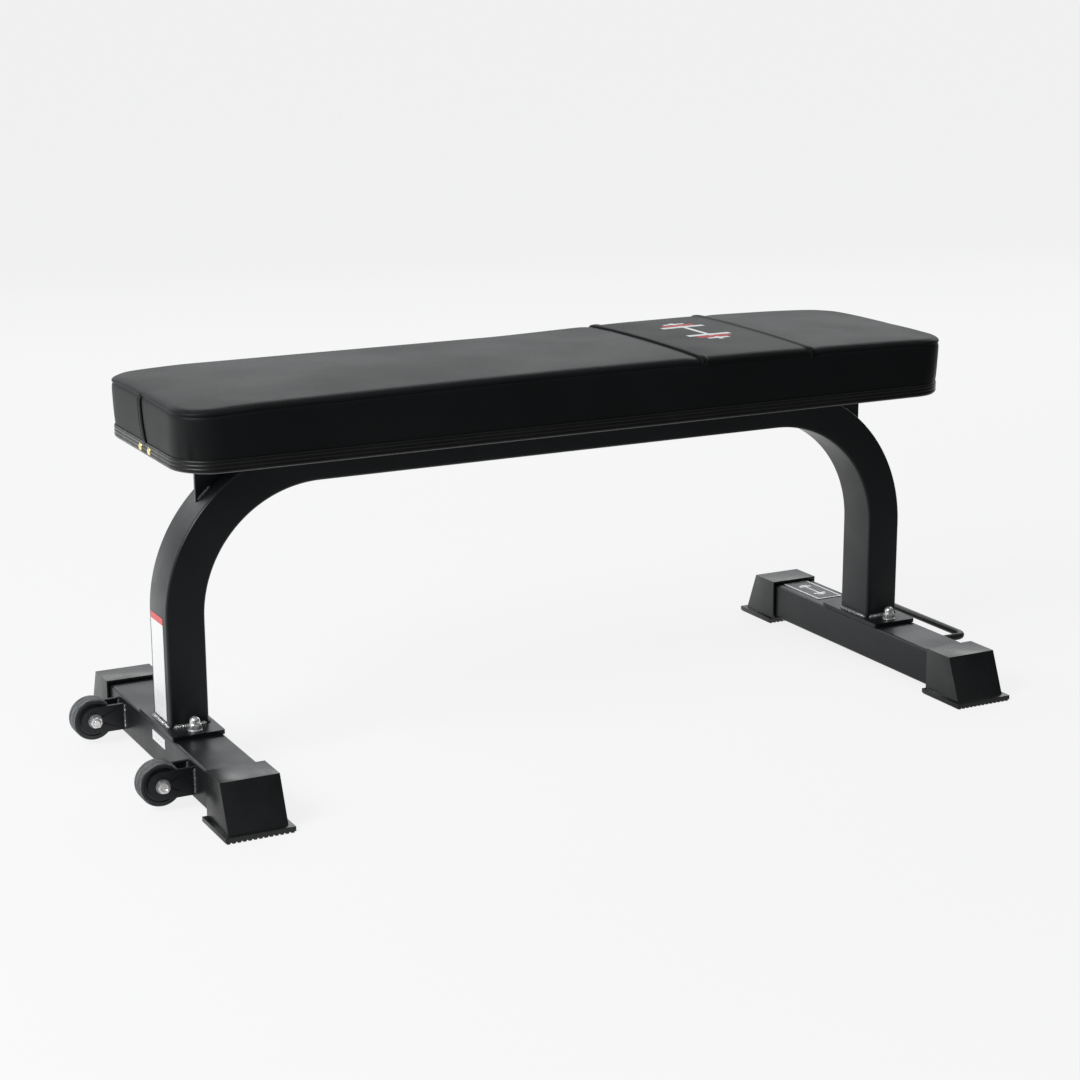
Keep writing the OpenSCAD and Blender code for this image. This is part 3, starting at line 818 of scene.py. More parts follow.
def makeBoot(node):
    low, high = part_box(node)
    middle = (low.x + high.x) / 2
    outward = 1 if high.y > 0 else -1
    mouth = low.y if outward > 0 else high.y
    b = boot

    def place(x, along, z):
        return (middle + x, mouth + outward * along, z)

    outline = [(0, b["soleDeep"]), (b["lowLong"], b["soleDeep"]), (b["lowLong"], b["flange"]),
               (b["topLong"], b["top"]), (0, b["top"])]
    verts = [place(x, along, z) for x in (-b["half"], b["half"]) for along, z in outline]
    n = len(outline)
    faces = [list(range(n)), list(range(2 * n - 1, n - 1, -1))]
    faces += [[i, i + n, (i + 1) % n + n, (i + 1) % n] for i in range(n)]
    if outward > 0:
        faces = [face[::-1] for face in faces]
    body = meshPiece(node + "Body", verts, faces, bootBlack)
    wide = b["half"] + b["side"]
    ends = sorted([mouth, mouth + outward * (b["lowLong"] + b["end"])])
    plate = boxMesh("plate", (middle - wide, ends[0], b["soleDeep"]), (middle + wide, ends[1], b["flange"]),
                    bootBlack)
    body = cut(body, plate, "UNION")
    for gap, deep in ((0.0, b["grip"]), (b["mouthGap"], b["mouthDeep"])):
        halfWide, halfDeep = b["tubeWide"] / 2 + gap, b["tubeDeep"] / 2 + gap
        centre = b["tubeLift"] + b["tubeDeep"] / 2
        ends = sorted([mouth - outward * 0.01, mouth + outward * deep])
        hole = boxMesh("hole", (middle - halfWide, ends[0], centre - halfDeep),
                       (middle + halfWide, ends[1], centre + halfDeep), bootBlack)
        body = cut(body, hole)
    bevelled(body, b["edge"], 3, 30)
    body = flatten(body, 35)
    ribs = []
    count = int(2 * wide / b["solePitch"])
    ends = sorted([mouth, mouth + outward * (b["lowLong"] + b["end"])])
    for index in range(count):
        x = middle + (index - (count - 1) / 2) * b["solePitch"]
        rib = boxMesh("rib", (x - b["soleRib"] / 2, ends[0] + b["ribInset"], 0),
                      (x + b["soleRib"] / 2, ends[1] - b["ribInset"], b["soleDeep"] + 0.0004), bootBlack)
        ribs.append(rib)
    piece = joined(node.replace("_", "-") + "-rubber", [body, *ribs])
    settle(piece, "frame", "boot_rubber", node)


for node in ("boot_left_near", "boot_left_far", "boot_right_near", "boot_right_far"):
    makeBoot(node)
print("boots made")


# wheels and fasteners

wheel = {"tread": 0.0019, "bush": 0.006, "hub": 0.012, "rim": 0.0035, "dish": 0.0014, "fillet": 0.0008,
         "groove": 0.0006, "grooveAt": 0.0042, "bevel": 0.0011}
screw = {"d": 0.008, "flats": 0.01304, "headHigh": 0.0048, "headDish": 0.0034, "nutHigh": 0.0064,
         "pitch": 0.00125, "threadLong": 0.012, "threadDeep": 0.0006, "domeR": 0.006, "domeHigh": 0.01504}


def makeWheel(side):
    body = "wheel_" + side
    low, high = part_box("wheel_tyre_" + side)
    centre = (low + high) / 2
    radius, half = (high.x - low.x) / 2, (high.y - low.y) / 2
    core = radius - wheel["tread"]
    f = wheel["fillet"]
    face = [(wheel["bush"], half - 0.0004), (wheel["bush"] + 0.0004, half), (wheel["hub"] - f, half),
            (wheel["hub"] - f * 0.3, half - f * 0.3), (wheel["hub"], half - f),
            (wheel["hub"] + 0.0002, half - wheel["dish"]),
            (core - wheel["rim"] - 0.0004, half - wheel["dish"]),
            (core - wheel["rim"], half - f), (core - wheel["rim"] + f * 0.6, half), (core - f * 0.5, half),
            (core, half - f * 0.5)]
    profile = [(r, -z) for r, z in face] + [(r, z) for r, z in reversed(face)]
    profile.append(profile[0])
    place = lying(centre.x, centre.y, centre.z, 1)
    piece = turned(body + "-core", profile, wheelBlack, place, 96)
    settle(welded(piece, 30), body, "wheel_plastic", "wheel_core_" + side)
    bevel, groove = wheel["bevel"], wheel["groove"]
    outer = [(core, -half), (radius - bevel, -half)]
    outer += arc(radius - bevel, -half + bevel, bevel, -90, 0, 5)[1:]
    for z in (-wheel["grooveAt"], wheel["grooveAt"]):
        outer += [(radius, z - groove), (radius - groove, z - groove * 0.4),
                  (radius - groove, z + groove * 0.4), (radius, z + groove)]
    outer += arc(radius - bevel, half - bevel, bevel, 0, 90, 5) + [(core, half), (core, -half)]
    tread = turned(body + "-tread", outer, treadGrey, place, 120)
    settle(welded(tread, 30), body, "tread_rubber", "wheel_tyre_" + side)


def threadProfile(radius, length, first):  # saw-tooth rings from the height first up
    pitch, root = screw["pitch"], radius - screw["threadDeep"]
    points = []
    for i in range(int(length / pitch)):
        base = first + i * pitch
        points += [(root, base), (radius, base + pitch * 0.35), (radius, base + pitch * 0.6),
                   (root, base + pitch * 0.95)]
    return points


def nutProfile(high):
    corner = screw["flats"] / 2 / math.cos(math.pi / 6)
    c = corner - screw["flats"] / 2
    return [(screw["d"] / 2, 0), (corner - c, 0), (corner - c * 0.4, c * 0.28), (corner, c * 0.75),
            (corner, high - c * 0.75), (corner - c * 0.4, high - c * 0.28), (corner - c, high),
            (screw["d"] / 2 + 0.0006, high), (screw["d"] / 2, high - 0.0006)]


def makeAxleParts(side):
    low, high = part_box("axle_bolt_" + side)
    outward = -1 if side == "near" else 1
    headEnd = low.y if outward < 0 else high.y
    tip = high.y if outward < 0 else low.y
    x, z = (low.x + high.x) / 2, (low.z + high.z) / 2
    seat = headEnd - outward * screw["headHigh"]  # underside of the head
    corner = screw["flats"] / 2 / math.cos(math.pi / 6)
    c = corner - screw["flats"] / 2
    h = screw["headHigh"]
    head = [(0, 0), (corner - c * 0.3, 0), (corner, c * 0.3), (corner, h - c),
            (corner - c * 0.35, h - c * 0.4), (corner - c * 0.8, h - 0.0002),
            (corner - c * 1.25, h), (screw["headDish"] + 0.0007, h),
            (screw["headDish"], h - 0.0008), (0, h - 0.0008)]
    top = turned("head", head, zincBright, lying(x, seat, z, outward), 48, screw["flats"] / 2)
    length = abs(tip - seat)
    r = screw["d"] / 2
    threaded = screw["threadLong"]
    shank = [(0, -0.001), (r, -0.001), (r, length - threaded)]
    shank += threadProfile(r, threaded - 0.0012, length - threaded)
    shank += [(r - 0.0008, length - 0.0006), (r - 0.0012, length), (0, length)]
    rod = turned("rod", shank, zincBright, lying(x, seat, z, -outward), 32)
    bolt = joined("axle-bolt-" + side + "-turned", [top, rod])
    settle(bolt, "frame", "bright_zinc", "axle_bolt_" + side)
    nutSeat = tip + outward * (0.003 + screw["nutHigh"])  # face of the nut that meets its washer
    profile = nutProfile(screw["nutHigh"])
    profile.append(profile[0])
    return turned("nut", profile, zincBright, lying(x, nutSeat, z, -outward), 48, screw["flats"] / 2)


def makeDomeNuts():
    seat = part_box("dome_nuts")[0].z
    corner = screw["flats"] / 2 / math.cos(math.pi / 6)
    plates = (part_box("base_plate_left"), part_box("base_plate_right"))
    legs = [(low.x + high.x) / 2 for low, high in plates]
    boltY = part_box("base_bolts")[1].y - screw["flats"] / 2
    r = screw["domeR"]
    dome = screw["domeHigh"] - r
    profile = [(0, 0), (corner - 0.0006, 0), (corner, 0.0005), (corner, screw["nutHigh"] - 0.0012),
               (corner - 0.0005, screw["nutHigh"] - 0.0005), (corner - 0.0011, screw["nutHigh"]),
               (r + 0.0002, screw["nutHigh"] + 0.0003), (r, screw["nutHigh"] + 0.0009)]
    profile += arc(0, dome, r, 0, 90, 12)[:-1] + [(0, dome + r)]
    nuts = []
    for x in legs:
        for y in (-boltY, boltY):
            place = Matrix.Translation((x, y, seat)) @ Matrix.Rotation(0.35 + x + y * 7, 4, "Z")
            nuts.append(turned("nut", profile, zincBright, place, 48, screw["flats"] / 2,
                               screw["nutHigh"], 28))
    settle(joined("dome-nuts-turned", nuts), "frame", "bright_zinc", "dome_nuts")


makeWheel("near")
makeWheel("far")
nuts = [makeAxleParts("near"), makeAxleParts("far")]
settle(joined("axle-nuts-turned", nuts), "frame", "bright_zinc", "axle_nuts")
makeDomeNuts()
print("wheels and fasteners made")


# weld beads

bead = {  # radius and ripple of each kind of bead, and how far a bead stands off its joint
    "leg": (0.0034, 0.0021), "gusset": (0.0019, 0.0017), "lug": (0.0019, 0.0015), "handle": (0.0016, 0.0014),
    "lift": 0.0004,
}


def layBeads(kind, runs, material):
    radius, ripple = bead[kind]
    values = {"Radius": radius, "Ripple": ripple, "Material": material}
    settle(grown(pathCurves(kind + "-welds", runs), weldBead, values, 60), "frame", "frame_paint")


def legWelds():  # all round the foot of each leg
    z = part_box("base_plate_left")[1].z + bead["lift"]
    low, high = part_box("main_tube")
    half = tube["deep"] / 2
    wide = (high.y - low.y) / 2
    runs = []
    for x in (low.x + half, high.x - half):
        for side in (-1, 1):
            edge = x + side * (half + 0.0006)
            runs.append([(edge, -wide + 0.002, z), (edge, wide - 0.002, z)])
            end = side * (wide + 0.0006)
            runs.append([(x - half + 0.003, end, z), (x + half - 0.003, end, z)])
    layBeads("leg", runs, weldBare)


def gussetWelds():  # two short runs on each face of a gusset, along the bend
    tubeLow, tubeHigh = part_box("main_tube")
    bend = tube["bend"]
    centreZ = tubeHigh.z - bend
    runs = []
    for node, sign in (("gusset_left", -1), ("gusset_right", 1)):
        low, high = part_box(node)
        centreX = (tubeLow.x + bend) if sign < 0 else (tubeHigh.x - bend)
        outerX = low.x if sign < 0 else high.x
        first = math.acos(abs(outerX - centreX) / bend)
        for face in (low.y - bead["lift"], high.y + bead["lift"]):
            for start, end in ((first + 0.02, first + 0.13), (first + 0.34, first + 0.45)):
                turns = [start + (end - start) * i / 8 for i in range(9)]
                runs.append([(centreX + sign * bend * math.cos(turn), face, centreZ + bend * math.sin(turn))
                             for turn in turns])
    layBeads("gusset", runs, weldPaint)


def lugWelds():
    runs = []
    for node in ("near_outer", "near_inner", "far_inner", "far_outer"):
        low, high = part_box("wheel_lug_" + node)
        for y in (low.y - bead["lift"], high.y + bead["lift"]):
            runs.append([(high.x, y, low.z + 0.001), (high.x, y, high.z - 0.001)])
    layBeads("lug", runs, weldPaint)


def handleWelds():  # a ring where each end of the handle meets its tube
    low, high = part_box("lift_handle")
    thick = high.z - low.z
    reach = thick / 2 + 0.0003
    runs = []
    for y in (low.y + thick / 2, high.y - thick / 2):
        ring = []
        for step in range(24):
            turn = step * math.pi / 12
            ring.append((low.x + bead["lift"], y + reach * math.cos(turn),
                         (low.z + high.z) / 2 + reach * math.sin(turn)))
        runs.append(ring + ring[:1])
    layBeads("handle", runs, weldPaint)


legWelds()
gussetWelds()
lugWelds()
handleWelds()
print("weld beads made")


# the pad

pad = {
    "corner": 0.047, "rimCorner": 0.04, "cornerFade": 0.11, "flare": 0.0016, "rimWide": 0.011,
    "rimDrop": 0.005, "cell": 0.0112, "hem": 0.025, "crown": 0.0032, "droop": 0.0026, "coverThick": 0.0012,
    "bowNear": (0.0036, 0.03, 0.46), "bowFar": (0.0042, 0.25, 0.26),  # rise, middle and half length
    "bandX": 0.2148, "bandWide": 0.158, "bandPress": 0.0011,
    "pressure": 4.0, "frames": 20, "pleat": 0.00035, "smoothing": 14,
    "heldBelow": 0.0135, "seamAt": 0.0626, "seamHold": 0.35,  # where and how hard the cloth run holds it
    "pleatReach": 0.047,
}
rows = [  # the side's profile: height above the bottom, how far it stands out from the board
    (0.0, -0.0006), (0.0012, -0.0001), (0.0065, 0.0), (0.0124, 0.0), (0.0142, 0.0005), (0.019, 0.0009),
    (0.026, 0.0012), (0.033, 0.0014), (0.04, 0.0015), (0.047, 0.0016), (0.0535, 0.0016), (0.0585, 0.0015),
    (0.0611, 0.001), (0.0621, 0.0002), (0.0626, -0.0003), (0.0631, 0.0002), (0.064, 0.0013), (0.0652, 0.0016),
]
padLow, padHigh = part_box("pad_cover")
padMiddle = Vector(((padLow.x + padHigh.x) / 2, 0, padLow.z))
halfLong, halfWide = (padHigh.x - padLow.x) / 2, (padHigh.y - padLow.y) / 2
padDeep = padHigh.z - padLow.z


def gridLines(half, extra):
    insets = [0, 0.0006, 0.0018, 0.0036, 0.006, 0.009, 0.0145, 0.0215, 0.030]
    lines = [half - i for i in insets] + [i - half for i in insets]
    inner = half - insets[-1]
    count = round(2 * inner / pad["cell"])
    plain = [-inner + 2 * inner * i / count for i in range(1, count)]
    lines += [p for p in plain if all(abs(p - e) > 0.004 for e in extra)] + list(extra)
    return sorted(lines)


def roundedPoint(x, y, long, wide, corner):  # a point of the rectangle moved so that its corners are round
    inX, inY = long - abs(x), wide - abs(y)
    inset = max(0.0, min(inX, inY))
    ringLong, ringWide = long - inset, wide - inset
    r = corner * max(0.0, 1 - inset / pad["cornerFade"]) ** 2
    alongSide = inX <= inY
    gap = (ringWide - abs(y)) if alongSide else (ringLong - abs(x))
    px, py = abs(x), abs(y)
    if gap < r:
        turn = (1 - gap / r) * math.pi / 4
        if not alongSide:
            turn = math.pi / 2 - turn
        px = ringLong - r + r * math.cos(turn)
        py = ringWide - r + r * math.sin(turn)
    return math.copysign(px, x), math.copysign(py, y)


def padGrid():  # verts and faces of the cover: the top, then the sides from the rows
    out = rows[-1][1]
    long, wide = halfLong + out, halfWide + out
    bandEdges = [pad["bandX"] + s * (pad["bandWide"] / 2 + d) for s in (-1, 1) for d in (-0.004, 0, 0.004)]
    xs = gridLines(long, [e - padMiddle.x for e in bandEdges])
    ys = gridLines(wide, [-0.024, -0.0205, -0.0175, -0.0145, -0.0115, -0.0085, -0.0055, -0.002])
    corner = pad["rimCorner"] + out
    verts, top = [], {}
    for i, x in enumerate(xs):
        for j, y in enumerate(ys):
            inset = max(0.0, min(long - abs(x), wide - abs(y)))
            fall = 0.0
            if inset < pad["rimWide"]:
                fall = pad["rimDrop"] * (1 - math.sqrt(1 - (1 - inset / pad["rimWide"]) ** 2))
            px, py = roundedPoint(x, y, long, wide, corner)
            top[i, j] = len(verts)
            verts.append(padMiddle + Vector((px, py, padDeep - fall)))
    faces = [[top[i, j], top[i + 1, j], top[i + 1, j + 1], top[i, j + 1]]
             for i in range(len(xs) - 1) for j in range(len(ys) - 1)]
    lastX, lastY = len(xs) - 1, len(ys) - 1
    loop = [(i, 0) for i in range(lastX)] + [(lastX, j) for j in range(lastY)]
    loop += [(i, lastY) for i in range(lastX, 0, -1)] + [(0, j) for j in range(lastY, 0, -1)]
    rings = [[top[c] for c in loop]]
    for height, stand in reversed(rows[:-1]):
        scaleX, scaleY = (halfLong + stand) / long, (halfWide + stand) / wide
        ring = []
        for i, j in loop:
            curve = pad["corner"] + (pad["rimCorner"] - pad["corner"]) * height / padDeep + stand
            px, py = roundedPoint(xs[i] * scaleX, ys[j] * scaleY, halfLong + stand, halfWide + stand, curve)
            ring.append(len(verts))
            verts.append(padMiddle + Vector((px, py, height)))
        rings.append(ring)
    for upper, lower in zip(rings, rings[1:]):
        for k in range(len(loop)):
            after = (k + 1) % len(loop)
            faces.append([upper[k], lower[k], lower[after], upper[after]])
    return verts, faces, rings, (xs, ys, top, loop)


def inflate(obj):  # a short cloth run that swells the cover against its pinned foot and its seam
    group = obj.vertex_groups.new(name="held")
    for vertex in obj.data.vertices:
        height = vertex.co.z - padLow.z
        hold = 0.0
        if height < pad["heldBelow"]:
            hold = 1.0
        elif abs(height - pad["seamAt"]) < 0.0012:
            hold = pad["seamHold"]
        if hold:
            group.add([vertex.index], hold, "REPLACE")
    cloth = obj.modifiers.new("cloth", "CLOTH")
    settings = cloth.settings
    settings.quality = 5
    settings.mass = 0.4
    settings.tension_stiffness = 45
    settings.compression_stiffness = 45
    settings.shear_stiffness = 25
    settings.bending_stiffness = 4
    settings.use_pressure = True
    settings.uniform_pressure_force = pad["pressure"]
    settings.vertex_group_mass = "held"
    settings.effector_weights.gravity = 0
    cloth.collision_settings.use_collision = False
    cloth.point_cache.frame_start = 1
    cloth.point_cache.frame_end = pad["frames"]
    for step in range(1, pad["frames"] + 1):
        scene.frame_set(step)
    depsgraph = bpy.context.evaluated_depsgraph_get()
    swollen = [v.co.copy() for v in obj.evaluated_get(depsgraph).data.vertices]
    obj.modifiers.remove(cloth)
    scene.frame_set(1)
    obj.vertex_groups.clear()
    return swollen


def smoothStep(value, low, high):
    t = max(0.0, min(1.0, (value - low) / (high - low)))
    return t * t * (3 - 2 * t)


def bowAt(x, rise, middle, half):  # a long soft arch in the pad's upper edge
    return rise * max(0.0, 1 - ((x - middle) / half) ** 2) ** 1.5


def evened(verts, swollen, grid):  # spreads the rise of the top between neighbours
    xs, ys, top = grid[:3]
    lastX, lastY = len(xs) - 1, len(ys) - 1
    for sweep in range(pad["smoothing"]):
        fresh = {}
        for i in range(2, lastX - 1):
            for j in range(2, lastY - 1):
                around = ((i - 1, j), (i + 1, j), (i, j - 1), (i, j + 1))
                rises = [swollen[top[c]].z - verts[top[c]].z for c in around]
                fresh[top[i, j]] = verts[top[i, j]].z + sum(rises) / 4
        for index, z in fresh.items():
            swollen[index].z = z


def bandDent(x, height):  # how far the band presses the top in, deepest along its edges
    far = abs(x - pad["bandX"])
    inside = 1 - smoothStep(far, pad["bandWide"] / 2 - 0.002, pad["bandWide"] / 2 + 0.014)
    edge = math.exp(-((far - pad["bandWide"] / 2 - 0.001) / 0.005) ** 2)
    return (pad["bandPress"] * inside + 0.0007 * edge) * smoothStep(height, 0.055, 0.066)


def cornerPleat(point, height):  # small pleats at the foot of each corner
    reach = pad["pleatReach"]
    inX, inY = halfLong - abs(point.x - padMiddle.x), halfWide - abs(point.y)
    if inX >= reach or inY >= reach or not 0.012 < height < 0.06:
        return Vector((0, 0, 0))
    turn = math.atan2(reach - inY, reach - inX)
    fade = (1 - smoothStep(height, 0.013, 0.045)) * math.sin(2 * max(0.0, min(math.pi / 2, turn)))
    outward = Vector((math.copysign(math.cos(turn), point.x), math.copysign(math.sin(turn), point.y), 0))
    return outward * (pad["pleat"] * fade * math.sin(turn * 20))


def shapeCover(verts, swollen, topIndices, grid):
    evened(verts, swollen, grid)
    rise = max(swollen[i].z - verts[i].z for i in topIndices)
    share, most = pad["crown"] / rise, pad["crown"] * 1.15
    shaped = []
    for rest, blown in zip(verts, swollen):
        move = (blown - rest) * share
        if move.length > most:
            move *= most / move.length
        shaped.append(rest + move)
    for point in shaped:
        height = point.z - padLow.z
        far = smoothStep(point.y, -halfWide, halfWide)
        bow = bowAt(point.x, *pad["bowNear"]) * (1 - far) + bowAt(point.x, *pad["bowFar"]) * far
        nearEnd = smoothStep(abs(point.x - padMiddle.x), halfLong - 0.1, halfLong)
        nearSide = smoothStep(abs(point.y), halfWide - 0.09, halfWide)
        droop = pad["droop"] * nearEnd * nearSide * (1.2 if point.x < 0 else 0.6)
        point.z += smoothStep(height, 0.013, 0.062) * (bow - droop)
        point.z -= bandDent(point.x, height)
        point += cornerPleat(point, height)
    return shaped


endSeam = {"top": -0.0025, "run": 0.0115, "gap": 0.0014, "deep": 0.0018, "flapWide": 0.0108,
           "flapThick": 0.0019, "stitchIn": 0.0056}


def seamY(height):  # where the end seam lies at a height above the pad's bottom
    t = max(0.0, min(1.0, (pad["seamAt"] - height) / 0.05))
    return endSeam["top"] - endSeam["run"] * t ** 1.25


def makeCover():
    verts, faces, rings, grid = padGrid()
    cover = meshPiece("pad-cover-vinyl", verts, faces, padBlack, 80)
    topIndices = set(grid[2].values())
    swollen = inflate(cover)
    shaped = shapeCover(verts, swollen, topIndices, grid)
    for vertex, place in zip(cover.data.vertices, shaped):
        vertex.co = place
    foot = len(verts)
    hem = rings[-1]  # folded in under the board
    hemVerts, hemFaces = [], []
    scaleX, scaleY = (halfLong - pad["hem"]) / halfLong, (halfWide - pad["hem"]) / halfWide
    for ringIndex in hem:
        point = shaped[ringIndex]
        x, y = point.x - padMiddle.x, point.y
        hemVerts.append(Vector((padMiddle.x + x * scaleX, y * scaleY, padLow.z + 0.00002)))
    count = len(hem)
    for k in range(count):
        after = (k + 1) % count
        hemFaces.append([hem[k], foot + k, foot + after, hem[after]])
    bpy.data.objects.remove(cover)
    cover = meshPiece("pad-cover-vinyl", shaped + hemVerts, faces + hemFaces, padBlack, 80)
    cover = smoothed(cover)
    for vertex in cover.data.vertices:  # the open joint of the end seam
        place = vertex.co
        height = place.z - padLow.z
        if place.x < padLow.x + 0.006 and 0.0125 < height < 0.0665:
            off = (place.y - seamY(height) + endSeam["gap"]) / endSeam["gap"]
            place.x += endSeam["deep"] * math.exp(-off * off)
    shade(cover, 80)
    tree = BVHTree.FromObject(cover, bpy.context.evaluated_depsgraph_get())
    skin = cover.modifiers.new("skin", "SOLIDIFY")
    skin.thickness = pad["coverThick"]
    skin.offset = -1
    skin.use_even_offset = False
    cover = flatten(cover, 80)
    settle(cover, "frame", "pad_vinyl", "pad_cover")
    return shaped, grid, tree


def makeFoam(shaped, grid):
    xs, ys, top, loop = grid
    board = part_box("pad_board")[1].z
    inset = pad["coverThick"] + 0.0004
    scaleX, scaleY = (1 - (inset + 0.002) / half for half in (halfLong, halfWide))
    verts, index = [], {}
    for key, source in top.items():
        point = shaped[source]
        x, y = point.x - padMiddle.x, point.y
        index[key] = len(verts)
        verts.append(Vector((padMiddle.x + x * scaleX, y * scaleY, point.z - inset)))
    under = {}
    for key, source in top.items():
        point = verts[index[key]]
        under[key] = len(verts)
        verts.append(Vector((point.x, point.y, board)))
    faces = []
    for i in range(len(xs) - 1):
        for j in range(len(ys) - 1):
            cell = [(i, j), (i + 1, j), (i + 1, j + 1), (i, j + 1)]
            faces.append([index[c] for c in cell])
            faces.append([under[c] for c in reversed(cell)])
    for k in range(len(loop)):
        a, b = loop[k], loop[(k + 1) % len(loop)]
        faces.append([index[a], under[a], under[b], index[b]])
    foam = meshPiece("pad-foam-block", verts, faces, foamYellow, 50)
    settle(foam, "frame", "foam", "pad_foam")


shaped, grid, coverTree = makeCover()
makeFoam(shaped, grid)
print("pad cover and foam made")


def onCover(origin, direction):  # where a ray meets the cover, and its outward normal there
    place, normal, index, far = coverTree.ray_cast(Vector(origin), Vector(direction).normalized())
    if place is None:
        place, normal, index, far = coverTree.find_nearest(Vector(origin))
    if normal.dot(Vector(direction)) > 0:
        normal = -normal
    return place, normal


band = {"thick": 0.0011, "hem": 0.0078, "hemThick": 0.0018, "stitchIn": 0.0058, "round": 0.0011,
        "reach": 0.0145, "lowAngle": 20, "angleStep": 7, "wave": 0.00018, "flatLong": 0.31}


stitch = {"band": (0.0042, 0.0034, 0.00062), "rim": (0.0044, 0.0035, 0.00055), "rimInset": 0.0042}
staple = {"pitch": 0.038, "wide": 0.0095, "wire": 0.0009, "inset": 0.012}


def layStitches(kind, curves, slotName):
    pitch, long, thick = stitch[kind]
    values = {"Pitch": pitch, "Long": long, "Thick": thick, "Material": threadBlack}
    settle(grown(curves, stitchRun, values, 60), "frame", slotName)


def bandCast(x, row):  # row is ("top", y) or (side, angle)
    if row[0] == "top":
        return onCover((x, row[1], padHigh.z + 0.04), (0, 0, -1))
    side, angle = row
    turn = math.radians(angle)
    out = Vector((0, side * math.cos(turn), math.sin(turn)))
    centre = Vector((x, side * (halfWide + pad["flare"] - band["reach"]), padHigh.z - band["reach"] + 0.002))
    return onCover(centre + out * 0.05, -out)


def bandRows():
    angles = list(range(90, band["lowAngle"] - 1, -band["angleStep"]))
    if angles[-1] != band["lowAngle"]:
        angles.append(band["lowAngle"])
    edge = halfWide + pad["flare"] - band["reach"]
    count = 28
    rowsNear = [(-1, a) for a in reversed(angles)]
    rowsTop = [("top", -edge + 2 * edge * i / count) for i in range(1, count)]
    return rowsNear + rowsTop + [(1, a) for a in angles]


def bandHeight(inset):  # thickness of the band this far in from its edge
    turnedIn = 1 - smoothStep(inset, band["hem"] - 0.0006, band["hem"] + 0.0012)
    groove = 0.0004 * math.exp(-((inset - band["stitchIn"]) / 0.0008) ** 2)
    soft = min(1.0, inset / band["round"])
    edge = math.sqrt(max(0.0, 1 - (1 - soft) ** 2)) * 0.75 + 0.25
    return (band["thick"] + band["hemThick"] * turnedIn) * edge - groove


def shellFaces(upper, lower):  # the faces of a thin shell from its two grids of points
    lastI, lastJ = max(upper)
    faces = []
    for i in range(lastI):
        for j in range(lastJ):
            faces.append([upper[i, j], upper[i + 1, j], upper[i + 1, j + 1], upper[i, j + 1]])
            faces.append([lower[i, j], lower[i, j + 1], lower[i + 1, j + 1], lower[i + 1, j]])
        faces.append([upper[i + 1, 0], upper[i, 0], lower[i, 0], lower[i + 1, 0]])
        faces.append([upper[i, lastJ], upper[i + 1, lastJ], lower[i + 1, lastJ], lower[i, lastJ]])
    for j in range(lastJ):
        faces.append([upper[0, j], upper[0, j + 1], lower[0, j + 1], lower[0, j]])
        faces.append([upper[lastI, j + 1], upper[lastI, j], lower[lastI, j], lower[lastI, j + 1]])
    return faces


def makeBand():
    half = pad["bandWide"] / 2
    near = [0, 0.0003, 0.0008, 0.0016, 0.003, 0.0045, 0.0052, 0.0058, 0.0064, 0.0071, 0.0081, 0.0095, 0.013]
    inner = half - near[-1]
    middle = [-inner + 2 * inner * i / 14 for i in range(1, 14)]
    columns = sorted([-half + n for n in near] + middle + [half - n for n in near])
    lines = bandRows()
    upper, lower, verts = {}, {}, []
    last = len(lines) - 1
    for i, column in enumerate(columns):
        for j, row in enumerate(lines):
            place, normal = bandCast(pad["bandX"] + column, row)
            inset = half - abs(column)
            tuck = smoothStep(min(j, last - j), -0.6, 2.2)
            wave = band["wave"] * math.sin(place.y * 61 + 0.7) * math.sin(place.x * 47)
            wave *= smoothStep(inset, 0.006, 0.03)
            upper[i, j] = len(verts)
            verts.append(place + normal * (bandHeight(inset) * tuck + 0.0001 + wave * tuck))
            lower[i, j] = len(verts)
            verts.append(place - normal * 0.0003)
    piece = meshPiece("sewn-band-vinyl", verts, shellFaces(upper, lower), bandBlack, 80)
    piece = smoothed(piece, 80)
    settle(piece, "frame", "band_vinyl", "sewn_band")
    runs = []
    for side in (-1, 1):
        x = pad["bandX"] + side * (half - band["stitchIn"])
        run = []
        for row in lines[1:-1]:
            place, normal = bandCast(x, row)
            run.append(place + normal * (bandHeight(band["stitchIn"]) + 0.0002))
        runs.append(run)
    layStitches("band", pathCurves("band-stitches", runs), "band_vinyl")


makeBand()
print("sewn band made")


def roundedOutline(long, wide, corner, quarters, steps):  # a quarter is its two signs and first angle
    points = []
    for signX, signY, start in quarters:
        for i in range(steps + 1):
            turn = math.radians(start + 90 * i / steps)
            points.append((signX * (long - corner) + corner * math.cos(turn),
                           signY * (wide - corner) + corner * math.sin(turn)))
    return points


def rimRun(inset, lift):  # a closed run round the top, this far in from the rim
    grow = pad["flare"] - inset
    quarters = ((1, 1, 0), (-1, 1, 90), (-1, -1, 180), (1, -1, 270))
    flat = roundedOutline(halfLong + grow, halfWide + grow, pad["corner"] + grow, quarters, 12)
    points = [(padMiddle.x + x, y) for x, y in flat]
    dense = []
    for (x1, y1), (x2, y2) in zip(points, points[1:] + points[:1]):
        steps = max(1, int(math.hypot(x2 - x1, y2 - y1) / 0.012))
        dense += [(x1 + (x2 - x1) * i / steps, y1 + (y2 - y1) * i / steps) for i in range(steps)]
    run = []
    for x, y in dense:
        place, normal = onCover((x, y, padHigh.z + 0.04), (0, 0, -1))
        run.append(place + normal * lift)
    return run


trim = {"high": 0.0125, "base": 0.0006, "rib": 0.0011, "join": -0.0126, "gap": 0.0009}


